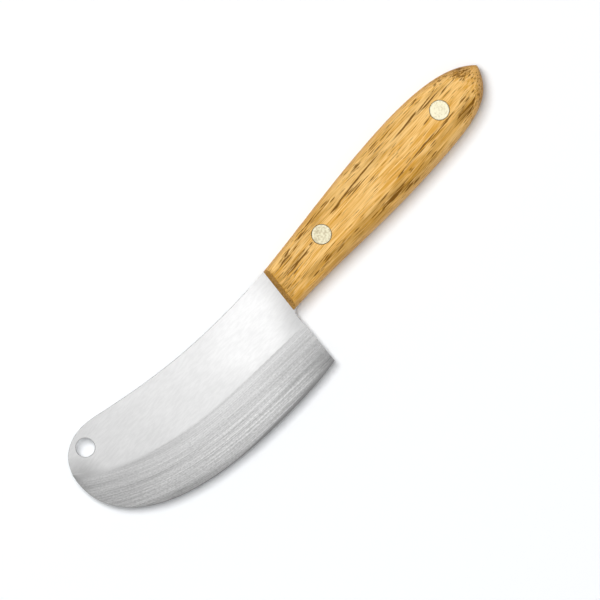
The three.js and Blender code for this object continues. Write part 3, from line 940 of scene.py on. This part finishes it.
# Spots of painted shade on the flat face by the handle and at the nose, and on the band at the heel, where
# the handle's shade and reflection and a darker reflection fall. Below zero, a spot paints a highlight
# instead
FLAT_SHADE_SPOTS = (
    (1, -13, 16, 15, 0, 0.8),
    (0, 3, 9, 16, 0, 0.4),
    (-110, 6, 12, 13, 0, 1.05),
    (-20, -1, 28, 15, 0, -0.3),
    (-25, -9, 18, 9, 0, -0.35),
)
BAND_SHADE_SPOTS = ((-3, -34, 17, 13, 0, 0.75), (-20, -28.5, 20, 9, 0, 0.5))
SHADE_SPOT_TONES = (-0.4, 1, 1.09, 0.62)  # rest of the row that tones the flat face by those places
# A coarse grain of the belt left one long scratch above the heel
SCRATCH = ((-30, -28.8, 34, 1.1, -4, 1.0),)
# Grinding lines, from broad streaks to a mottle: millimetres long and wide, and their part in the shade
GRINDING = ((120, 5, 0.22), (60, 1.5, 0.3), (35, 0.8, 0.32), (2.2, 1.1, 0.16))
# Single lines and specks over them: millimetres long and wide, and the lowest and highest scale of the shade
LINES = ((90, 0.55, 0.88, 1.12), (30, 0.42, 0.92, 1.08), (0.8, 0.55, 0.89, 1.11))


def satin_steel(finish):
    """Stainless sheet, cold rolled and satin finished: a soft even sheen without lines, faintly cloudy, with
    painted shade in the corner by the handle and at the nose, and a painted highlight beside the handle. Its
    mottle is drawn coarser than the real one, so that it shows."""
    material, tree, shader = new_material("satin_stainless_steel")
    place = drawing_place(tree)
    rows = (
        (patchy(tree, place, (14, 9, 9), 4), 0.25, 0.75, 0.96, 1.02),
        (patchy(tree, place, (3.5, 0.9, 0.9), 2), 0.3, 0.7, 0.968, 1.03),
        # Painted shade by the handle and at the nose, and a painted highlight beside the handle
        (spots(tree, place, FLAT_SHADE_SPOTS), *SHADE_SPOT_TONES),
    )
    shade = toned(tree, finish.steel[:3], rows)
    fill(tree, shader, {"Base Color": shade, "Roughness": finish.steel_roughness, "Metallic": 1})
    return material


def ground_steel(finish):
    """Stainless steel, ground on a belt: long fine lines beside the top line of the band, some of them bright
    and some dark, over a broader streakiness and a fine mottle. The lines are drawn about three times as
    coarse as a belt leaves them, so that they show."""
    material, tree, shader = new_material("ground_stainless_steel")
    place = add(tree, "ShaderNodeAttribute", out="Vector", attribute_name="grinding")
    along, below_top, above_edge = add(tree, "ShaderNodeSeparateXYZ", [place], out=None).outputs
    flat_place = drawing_place(tree)

    # Lines that are faint at the top of the band, and deeper towards the edge
    bite = add(tree, "ShaderNodeMapRange", [below_top, 1, 14, 0.45, 1.15])
    strokes = []
    for row in GRINDING + LINES:
        noise = patchy(tree, place, (*row[:2], math.inf), 1)
        strokes.append(add(tree, "ShaderNodeMix", {0: bite, 2: 0.5, 3: noise}, clamp_factor=False))
    total = 0.0
    for stroke, (_, _, part) in zip(strokes, GRINDING):
        total = add(tree, "ShaderNodeMath", [stroke, part, total], operation="MULTIPLY_ADD")
    sharp = add(tree, "ShaderNodeMapRange", [total, 0.38, 0.62])
    both = {0: sharp, 6: finish.grind_dark, 7: finish.grind_light}
    lined = add(tree, "ShaderNodeMix", both, out=2, data_type="RGBA")

    # Painted shade darkens the band towards both ends, towards the edge behind the nose and at the heel, and
    # a painted highlight lightens it just behind the nose
    nose_lift = add(tree, "ShaderNodeMapRange", [along, 45, 80, 9, 0])
    from_edge = add(tree, "ShaderNodeMath", [above_edge, nose_lift], operation="ADD")
    rows = [(stroke, 0.28, 0.72, *tones) for stroke, (_, _, *tones) in zip(strokes[len(GRINDING) :], LINES)]
    rows += [
        (along, 46, 68, 1.22, 1),
        (along, 50, 100, 0.84, 1),
        (along, 115, 165, 1, 0.82),
        (from_edge, 0.6, 3.6, 0.76, 1),
        (from_edge, 1, 9, 0.84, 1),
        # Painted shade at the heel
        (spots(tree, flat_place, BAND_SHADE_SPOTS), 0, 1, 1, 0.5),
        (spots(tree, flat_place, SCRATCH), 0, 1, 1, 0.8),
    ]
    lined = toned(tree, lined, rows)

    # The band starts over a few millimetres at the nose, and all at once further on. The steel ahead of it is
    # satin, with the flat face's painted shade, and a painted highlight at the very tip
    rows = ((spots(tree, flat_place, FLAT_SHADE_SPOTS), *SHADE_SPOT_TONES), (along, 44, 51, 1.3, 1))
    plain = toned(tree, finish.steel[:3], rows)
    start = add(tree, "ShaderNodeMapRange", [along, 40, 85, 4.5, 0.4])
    depth = add(tree, "ShaderNodeMath", [below_top, start], operation="DIVIDE")
    ground = add(tree, "ShaderNodeMapRange", [depth], interpolation_type="SMOOTHSTEP")
    shade = add(tree, "ShaderNodeMix", {0: ground, 6: plain, 7: lined}, out=2, data_type="RGBA")
    fill(tree, shader, {"Base Color": shade, "Roughness": finish.grind_roughness, "Metallic": 1})
    return material


def honed_steel(finish):
    """Stainless steel, honed on a finer stone: a narrow strip that tilts away from the light. Its darker
    colour is partly painted shade for the darker reflection that the strip sees, and painted shade makes it
    darkest at the very edge, with a painted highlight behind the nose. Its lines are drawn coarser than a
    stone leaves them, so that they show."""
    material, tree, shader = new_material("honed_stainless_steel")
    place = add(tree, "ShaderNodeAttribute", out="Vector", attribute_name="grinding")
    along, _, above_edge = add(tree, "ShaderNodeSeparateXYZ", [place], out=None).outputs
    rows = (
        (patchy(tree, place, (9, math.inf, 0.4), 2), 0.2, 0.8, 0.9, 1.1),
        # Painted shade, darkest at the very edge, and a painted highlight behind the nose
        (above_edge, 0, 1.3, 0.95, 1.35),
        (along, 45, 80, 1.3, 1),
    )
    shade = toned(tree, finish.bevel[:3], rows)
    fill(tree, shader, {"Base Color": shade, "Roughness": finish.bevel_roughness, "Metallic": 1})
    return material


def rim_steel_painted_shade(finish):
    """Stainless sheet, blanked and tumbled: a dull rim with a grain across the sheet, drawn coarser than the
    real one, so that it shows. Its colour is darker than the flat face's, as painted shade along the rim and
    the broken edges."""
    material, tree, shader = new_material("blanked_steel_painted_shade")
    grain = patchy(tree, drawing_place(tree), (0.5, 0.5, 2), 2)
    shade = toned(tree, finish.rim[:3], ((grain, 0.25, 0.75, 0.85, 1.12),))
    fill(tree, shader, {"Base Color": shade, "Roughness": finish.rim_roughness, "Metallic": 1})
    return material


# Lengths in the wood, in millimetres
GRAIN_RUN = (55, 16, 16)  # along, across and through, over which the grain wanders
GRAIN_SWING = 5  # full width of that
RING_SPACING = 4.5
PITH = (0, -1.5, -14)  # middle of the growth rings, under the face
CUT_PORE = (3, 0.8, 0.8)  # room of one pore that is cut across
PORE_DEPTH = 0.06

WAVE_PERIOD = 2 * math.pi / 20  # of Blender's wave texture at a scale of 1
WOOD_IOR = 1.5
# Uneven growth along the grain, from broad patches to single fibres: millimetres along and across, detail.
# Fibres and pores are drawn a few times as wide as the real ones, so that they show.
GROWTH = {
    "patches": (40, 5, 3),
    "smoke": (10, 1.5, 3),
    "fibres": (13, 0.55, 2),
    "hairs": (14, 0.42, 1),
    "vessels": (16, 0.55, 2),
    "dashes": (7, 0.42, 1),
}
# Long open pores that were cut lengthwise, in the way of spots
PORES = (
    (10.3, 0.1, 2.6, 0.50, 5, 0.9),
    (11.2, 1.5, 3.9, 0.46, 3, 1.0),
    (15, 2, 5.4, 0.46, 0, 1.1),
    (14.5, 2.9, 4.7, 0.42, 0, 0.9),
    (18.8, 3.3, 2.0, 0.46, 5, 0.9),
    (18.8, 2.3, 3.4, 0.50, 2, 1.0),
    (18.5, 1.6, 2.7, 0.46, 0, 0.9),
    (22.7, 3, 1.8, 0.61, 0, 0.9),
    (8.8, 6.2, 3.5, 0.50, 10, 0.9),
    (12.5, 7.2, 3.9, 0.53, 12, 1.0),
    (14.2, 7.9, 3.0, 0.44, 5, 0.9),
    (17, 6.6, 3.0, 0.46, 8, 0.8),
    (22.3, 8.4, 3.2, 0.66, 8, 1.2),
    (29, 9.4, 5.0, 0.44, 4, 1.1),
    (29.5, 8.5, 3.5, 0.50, 0, 0.8),
    (37.5, 9.9, 3.2, 0.46, 3, 0.8),
    (41.3, 8.5, 2.6, 0.50, 0, 0.9),
    (15.5, -6.6, 3.2, 0.50, 0, 0.8),
    (22.5, -5.3, 4.2, 0.46, 8, 0.8),
    (28.5, -6.8, 3.2, 0.46, 0, 0.8),
    (39, -6.9, 2.8, 0.61, 0, 0.8),
    (40.3, 5.4, 3.5, 0.66, 0, 1.1),
    (46.5, 6.1, 14.2, 0.55, 4, 1.3),
    (58.5, 6.85, 12.7, 0.50, 2, 1.3),
    (48, 5.1, 7.4, 0.46, 1, 1.0),
    (52, 4.3, 8.9, 0.46, 2, 0.9),
    (59, 2.4, 3.9, 0.50, 5, 0.8),
    (57.5, 10.2, 5.0, 0.42, 0, 0.8),
    (69, 8.9, 5.0, 0.50, 0, 1.0),
    (76, 9, 5.4, 0.46, 0, 0.8),
    (69, 11, 6.5, 0.61, 0, 0.8),
    (92, 10.7, 4.5, 0.55, -3, 0.9),
    (80.5, 6.7, 9.7, 0.55, 2, 1.3),
    (87, 7.1, 4.5, 0.55, 5, 1.2),
    (93.2, 7, 4.3, 0.55, 3, 1.3),
    (97, 6.1, 7.4, 0.53, 3, 1.2),
    (103.4, 4.9, 4.3, 0.46, 4, 1.0),
    (104, 3, 5.0, 0.46, -3, 0.9),
    (89.5, 1.6, 4.5, 0.46, 3, 0.8),
    (67.5, -4.8, 6.5, 0.50, 5, 1.0),
    (79.3, -4.1, 5.4, 0.46, 3, 1.3),
    (79.5, -4.95, 5.0, 0.44, 0, 0.8),
    (86, -3.9, 6.5, 0.53, 2, 1.3),
    (90, -4.5, 10.4, 0.46, 3, 0.8),
    (97.5, -4, 5.9, 0.53, 5, 0.9),
    (54, -7.7, 3.4, 0.50, 0, 0.9),
    (58, -8.7, 7.4, 0.66, -3, 1.3),
    (59, -9.4, 5.9, 0.66, -2, 1.3),
    (56.5, -6.3, 6.2, 0.55, 0, 0.8),
    (66, -10.7, 4.3, 0.55, 3, 1.1),
    (69.5, -11.4, 3.9, 0.55, 2, 1.0),
    (71.5, -6.6, 2.0, 0.66, 0, 0.8),
    (100.5, -6.6, 2.3, 0.66, 10, 1.0),
    (105, -8.5, 4.1, 0.66, 10, 1.2),
    (108.6, -6.8, 2.4, 0.66, 25, 1.3),
    (107.3, -4.6, 2.4, 0.61, 5, 1.0),
    (104, -5.4, 2.7, 0.55, 0, 0.8),
    (111.8, 5.3, 3.0, 0.66, -28, 1.1),
    (114, 6.2, 2.4, 0.66, -35, 1.1),
    (115.5, 3.8, 2.7, 0.66, -40, 1.0),
)
# Rows of early wood, in which short pores stand close, in the same way
ROWS = (
    (13, 6.6, 16, 2.4, 8, 1.0),
    (16, 2.2, 13, 2.2, 2, 1.0),
    (6, 0.5, 7, 4.0, 0, 0.9),
    (30, 9, 14, 2.0, 5, 1.0),
    (20, -5.5, 19, 2.6, -8, 0.9),
    (38, -6.5, 14, 2.6, -3, 0.6),
    (50, 4.8, 12, 1.6, 2, 0.8),
    (64, 2.3, 18, 1.4, 2, 0.6),
    (58, 10.5, 11, 2.0, 1, 0.9),
    (78, 10.2, 16, 2.4, 0, 0.8),
    (94, 6.6, 12, 1.6, 2, 0.9),
    (82, -4.3, 18, 1.6, 2, 1.0),
    (60, -8.8, 15, 3.0, -3, 1.0),
    (78, -9.5, 16, 3.2, 2, 0.7),
    (104, -6.5, 9, 4.0, 10, 1.3),
    (113, 4.5, 6, 4.0, -35, 1.3),
)
# Stained places, in the same way. Those along the lower side are partly painted shade of the rounding that
# faces away from the light
STAINS_AND_SHADE = (
    (27, -6.2, 22, 3.6, -4, 0.9),
    (47, -7.5, 14, 4.4, -4, 1.0),
    (34, -9.6, 24, 3.4, -3, 0.85),
    (14, -5.5, 10, 4.5, 0, 0.55),
    (66, -9.0, 22, 4.8, -2, 1.15),
    (66, -6, 17, 2.4, 2, 0.4),
    (88, -8.4, 22, 4.6, 3, 1.1),
    (105, -6.0, 11, 4.0, 10, 0.9),
    (32, 7.8, 18, 4.2, 5, 1.0),
    (62, 10.4, 28, 3.6, 0, 0.7),
    (64, 6.2, 36, 3.6, 0, 0.65),
    (92, 8.5, 22, 3.6, -8, 0.6),
    (104, 6, 9, 2.6, -10, 0.4),
    (10, 3.6, 14, 5.0, 4, 0.5),
    (2, 7.5, 2.5, 3.0, 80, 1.2),
    (1.5, -1, 7, 14, 8, 1.1),
    (14, -1, 17, 11, 0, 0.15),
)


def oiled_ash(finish):
    """Ash, sanded and oiled: golden, ring-porous wood. The open pores of the early wood show as dark dashes
    along the grain, in rows, the late wood between them is smooth and pale, and where the handle is cut
    across the grain, the pores show as dots in darker wood."""
    material, tree, shader = new_material("oiled_ash")
    place = drawing_place(tree)

    # Grain that wanders a few millimetres over the length of the handle
    wander = patchy(tree, place, GRAIN_RUN, 1, out="Color")
    centred = add(tree, "ShaderNodeVectorMath", [wander, [0.5] * 3], operation="SUBTRACT")
    swing = [0, GRAIN_SWING, GRAIN_SWING]
    grain = add(tree, "ShaderNodeVectorMath", [centred, swing, place], operation="MULTIPLY_ADD")

    # Growth rings, and uneven growth along the grain
    ring_place = add(tree, "ShaderNodeMapping", {"Vector": grain, "Location": [-offset for offset in PITH]})
    rings = add(
        tree,
        "ShaderNodeTexWave",
        {
            "Vector": ring_place,
            "Scale": WAVE_PERIOD / RING_SPACING,
            "Distortion": 1.2,
            "Detail": 1,
            "Detail Scale": 0.6,
        },
        out="Fac",
        wave_type="RINGS",
        rings_direction="X",
        wave_profile="SAW",
    )
    growth = {}
    for name, (along, across, detail) in GROWTH.items():
        growth[name] = patchy(tree, grain, (along, across, across), detail)
    tone = 0.0
    for row in (
        (growth["patches"], 0.3, 0.7, 0, 0.4),
        (rings, 0.55, 0.1, 0, 0.25),
        (growth["fibres"], 0.3, 0.7, -0.24, 0.44),
        (growth["hairs"], 0.32, 0.68, -0.38, 0.4),
    ):
        part = add(tree, "ShaderNodeMapRange", row, interpolation_type="SMOOTHSTEP")
        tone = add(tree, "ShaderNodeMath", [tone, part], operation="ADD")

    # Stain, thicker along some fibres than along others, and partly painted shade along the lower side
    streaky = add(tree, "ShaderNodeMapRange", [growth["smoke"], 0.25, 0.7, 0.25, 1.2])
    soaked_and_shaded = add(tree, "ShaderNodeMath", [spots(tree, place, STAINS_AND_SHADE), streaky], operation="MULTIPLY")
    stained_and_shaded = add(tree, "ShaderNodeMapRange", [soaked_and_shaded, 0, 1, 0, 0.7], interpolation_type="SMOOTHSTEP")

    # How far the surface turns towards the sides and the ends of the handle. Where it turns away from
    # straight up, painted shade darkens the wood. The arris of the front is darker than its face, and both
    # ends show cut pores
    normal = add(tree, "ShaderNodeNewGeometry", out="Normal")
    endwards, _, up = add(tree, "ShaderNodeSeparateXYZ", [normal], out=None).outputs
    upwards = add(tree, "ShaderNodeMath", [up], operation="ABSOLUTE")
    sides, front, arris, butt, front_pores, butt_pores = (
        add(tree, "ShaderNodeMapRange", row, interpolation_type="SMOOTHSTEP")
        for row in (
            (upwards, 0.8, 0.1, 0, 0.6),
            (endwards, -0.06, -0.5, 0, 0.7),
            (endwards, -0.96, -0.7, 0.1, 1),
            (endwards, 0.06, 0.5, 0, 0.42),
            (endwards, -0.7, -0.94, 0, 0.45),
            (endwards, 0.04, 0.25, 0, 0.7),
        )
    )
    for part in (arris, streaky):
        front = add(tree, "ShaderNodeMath", [front, part], operation="MULTIPLY")
    cut_pores = add(tree, "ShaderNodeMath", [front_pores, butt_pores], operation="ADD")

    # Long pores, uneven along their way, over short ones that stand close in the early wood and where the
    # stain is, and over the dots at both ends
    breaks = add(tree, "ShaderNodeMapRange", [growth["dashes"], 0.6, 0.42, 0.6, 1.25])
    long_pores = add(tree, "ShaderNodeMath", [spots(tree, place, PORES), breaks], operation="MULTIPLY")
    pores = add(tree, "ShaderNodeMapRange", [long_pores, 0.25, 0.62, 0, 0.92])
    chance = add(tree, "ShaderNodeMath", [stained_and_shaded, 0.3, spots(tree, place, ROWS)], operation="MULTIPLY_ADD")
    over_pores = []
    for name, *row in (("vessels", 0.36, 0.24, 0, 0.45), ("dashes", 0.35, 0.26, 0, 0.85)):
        spare = add(tree, "ShaderNodeMath", [chance, -0.16, growth[name]], operation="MULTIPLY_ADD")
        over_pores.append(add(tree, "ShaderNodeMapRange", [spare, *row], interpolation_type="SMOOTHSTEP"))
    cells = add(tree, "ShaderNodeMapping", {"Vector": grain, "Scale": [1 / size for size in CUT_PORE]})
    dots = add(tree, "ShaderNodeTexVoronoi", {"Vector": cells, "Scale": 1}, out=None).outputs
    lot = add(tree, "ShaderNodeSeparateColor", [dots["Color"]])
    spare = add(tree, "ShaderNodeMath", [cut_pores, lot], operation="SUBTRACT")
    there = add(tree, "ShaderNodeMapRange", [spare, 0, 0.2, 0, 0.9])
    dot = add(tree, "ShaderNodeMapRange", [dots["Distance"], 0.55, 0.2], interpolation_type="SMOOTHSTEP")
    over_pores.append(add(tree, "ShaderNodeMath", [there, dot], operation="MULTIPLY"))
    for over in over_pores:
        pores = add(tree, "ShaderNodeMath", [pores, over], operation="MAXIMUM")

    shade = finish.wood_light
    for amount, over in (
        (tone, finish.wood_deep),
        (stained_and_shaded, finish.wood_stain_and_shade),
        # Painted shade where the surface turns away from straight up
        (sides, finish.wood_side_shade),
        (front, finish.wood_end),
        (butt, finish.wood_end),
        (pores, finish.wood_pore),
    ):
        shade = add(tree, "ShaderNodeMix", {0: amount, 6: shade, 7: over}, out=2, data_type="RGBA")
    relief = add(tree, "ShaderNodeMath", [growth["fibres"], 0.3, pores], operation="MULTIPLY_ADD")
    dents = {"Strength": 0.35, "Distance": PORE_DEPTH * MM, "Height": relief}
    bump = add(tree, "ShaderNodeBump", dents, invert=True)
    rough = add(tree, "ShaderNodeMath", [pores, 0.2, finish.wood_roughness], operation="MULTIPLY_ADD")
    fill(tree, shader, {"Base Color": shade, "Roughness": rough, "Normal": bump})
    fill(tree, shader, {"IOR": WOOD_IOR, "Specular IOR Level": finish.wood_gloss})
    return material


# Lengths on the rivets, in millimetres
SPECK = (0.8, 0.8, 0.8)
PALM = (30, 90)  # between these places along the handle, the palm starts to rub


def sanded_aluminium(finish):
    """Aluminium rivet, sanded flush with the wood: pale and satin, warm from the oil, with dull specks, fewer
    of them on the rear rivet, which the palm rubs. The specks are drawn coarser than real ones, so that they
    show."""
    material, tree, shader = new_material("sanded_aluminium")
    place = drawing_place(tree)
    specks = patchy(tree, place, SPECK, 3)
    along = add(tree, "ShaderNodeSeparateXYZ", [place], out="X")
    rubbed = add(tree, "ShaderNodeMapRange", [along, *PALM, 0.48, 0.57])
    above = add(tree, "ShaderNodeMath", [specks, rubbed], operation="SUBTRACT")
    amount = add(tree, "ShaderNodeMapRange", [above, -0.08, 0.2])
    both = {0: amount, 6: finish.rivet, 7: finish.rivet_dull}
    shade = add(tree, "ShaderNodeMix", both, out=2, data_type="RGBA")
    rough = add(tree, "ShaderNodeMath", [amount, 0.1, finish.rivet_roughness], operation="MULTIPLY_ADD")
    fill(tree, shader, {"Base Color": shade, "Roughness": rough, "Metallic": 1})
    return material


def white_paper(finish, glow):
    """Matt white paper: it takes the knife's soft shadow, and shows white to the viewer and in the steel."""
    material, tree, shader = new_material("white_paper")
    rays = add(tree, "ShaderNodeLightPath", out=None).outputs
    seen = 0.0
    for kind in ("Is Camera Ray", "Is Glossy Ray", "Is Transmission Ray"):
        seen = add(tree, "ShaderNodeMath", [seen, rays[kind]], operation="MAXIMUM")
    light = add(tree, "ShaderNodeMath", [seen, glow], operation="MULTIPLY")
    fill(tree, shader, {"Emission Strength": light, "Emission Color": [1, 1, 1, 1]})
    fill(tree, shader, {"Base Color": finish.floor, "Roughness": 1, "Specular IOR Level": 0})
    return material


# Stage

FLOOR_SQUARES = 8
WALL_BAND = (0.05, 0.3)  # sine of the height at which the white around the floor ends
OVERHEAD_PATCH = (0.84, 0.97)  # sine of the height at which the pale patch overhead starts


def studio_world(stage):
    """Even studio light, white around the floor, with a pale patch straight overhead."""
    world = bpy.data.worlds.new("studio")
    world.use_nodes = True
    tree = world.node_tree
    direction = add(tree, "ShaderNodeTexCoord", out="Generated")
    height = add(tree, "ShaderNodeSeparateXYZ", [direction], out="Z")
    walls, overhead = (
        add(tree, "ShaderNodeMapRange", row, interpolation_type="SMOOTHSTEP")
        for row in (
            (height, *WALL_BAND, stage.horizon, stage.ceiling),
            (height, *OVERHEAD_PATCH, 0, stage.zenith),
        )
    )
    bright = add(tree, "ShaderNodeMath", [walls, overhead], operation="MAXIMUM")
    fill(tree, tree.nodes["Background"], {"Color": bright})
    bpy.context.scene.world = world


def soft_light(name, place, target, sides, watts, gloss):
    """Area light that faces a target. It gives either the gloss of the metal or the light on the rest."""
    lamp = bpy.data.lights.new(name, "AREA")
    lamp.shape = "RECTANGLE"
    lamp.size, lamp.size_y = sides
    lamp.energy = watts
    light = bpy.data.objects.new(name, lamp)
    light.location = place
    light.rotation_mode = "QUATERNION"
    light.rotation_quaternion = (Vector(target) - Vector(place)).to_track_quat("-Z", "Y")
    light.visible_camera = False
    light.visible_glossy = gloss
    light.visible_diffuse = not gloss
    bpy.context.scene.collection.objects.link(light)


class CHEESE_KNIFE_OT_stage(bpy.types.Operator):
    """Make the floor, the studio light and the camera"""

    bl_idname = "cheese_knife.stage"
    bl_label = "Stage"

    def execute(self, context):
        settings = context.scene.cheese_knife
        stage = settings.stage
        context.scene.view_settings.view_transform = "Standard"
        studio_world(stage)
        key_away = Vector((0, math.sin(stage.key_tilt), math.cos(stage.key_tilt))) * stage.key_distance
        soft_light("key_light", key_away, (0, 0, 0), stage.key_size, stage.key_power, False)
        top = Vector(stage.top_place)
        soft_light("top_light", top, (top.x, top.y, 0), stage.top_size, stage.top_power, True)
        for name, x, y in (("front", -1, 0), ("butt", 1, 0), ("edge", 0, -1), ("spine", 0, 1)):
            wall = Vector((x * stage.wall_distance, y * stage.wall_distance, stage.wall_height))
            target = (0, 0, stage.wall_height)
            soft_light(name + "_wall", wall, target, stage.wall_size, stage.wall_power, True)

        bm = bmesh.new()
        half_side = stage.floor_side / 2
        bmesh.ops.create_grid(bm, x_segments=FLOOR_SQUARES, y_segments=FLOOR_SQUARES, size=half_side)
        mesh = bpy.data.meshes.new("floor")
        bm.to_mesh(mesh)
        bm.free()
        mesh.materials.append(white_paper(settings.finish, stage.floor_glow))
        floor = bpy.data.objects.new("floor", mesh)
        context.scene.collection.objects.link(floor)

        camera = bpy.data.objects.new("camera", bpy.data.cameras.new("camera"))
        camera.data.sensor_width = stage.sensor
        camera.data.lens = stage.sensor * stage.view_distance / stage.view_width
        camera.location = (*stage.view_middle, BLADE_HIGH.z + stage.view_distance)
        camera.rotation_euler = (0, 0, stage.view_turn)
        context.scene.collection.objects.link(camera)
        context.scene.camera = camera
        return {"FINISHED"}


class CHEESE_KNIFE_PT_sidebar(bpy.types.Panel):
    """Settings of the cheese knife and the steps that build it"""

    bl_idname = "CHEESE_KNIFE_PT_sidebar"
    bl_label = "Cheese Knife"
    bl_space_type = "VIEW_3D"
    bl_region_type = "UI"
    bl_category = "Cheese Knife"

    def draw(self, context):
        settings = context.scene.cheese_knife
        for operator, group in (
            ("cheese_knife.stage", settings.stage),
            ("cheese_knife.blade", settings.blade),
            ("cheese_knife.scales", settings.handle),
            ("cheese_knife.rivets", settings.rivets),
            (None, settings.finish),
        ):
            box = self.layout.box()
            if operator:
                box.operator(operator)
            for name in group.__annotations__:
                box.prop(group, name)


CLASSES = (
    BladeSizes,
    HandleSizes,
    RivetSizes,
    Finishes,
    StageSizes,
    KnifeSettings,
    CHEESE_KNIFE_OT_stage,
    CHEESE_KNIFE_OT_blade,
    CHEESE_KNIFE_OT_scales,
    CHEESE_KNIFE_OT_rivets,
    CHEESE_KNIFE_PT_sidebar,
)


def register():
    for item in CLASSES:
        bpy.utils.register_class(item)
    bpy.types.Scene.cheese_knife = PointerProperty(type=KnifeSettings)


def unregister():
    del bpy.types.Scene.cheese_knife
    for item in reversed(CLASSES):
        bpy.utils.unregister_class(item)


def main():
    register()
    bpy.ops.cheese_knife.stage()
    bpy.ops.cheese_knife.blade()
    bpy.ops.cheese_knife.scales()
    bpy.ops.cheese_knife.rivets()


if __name__ == "__main__":
    main()
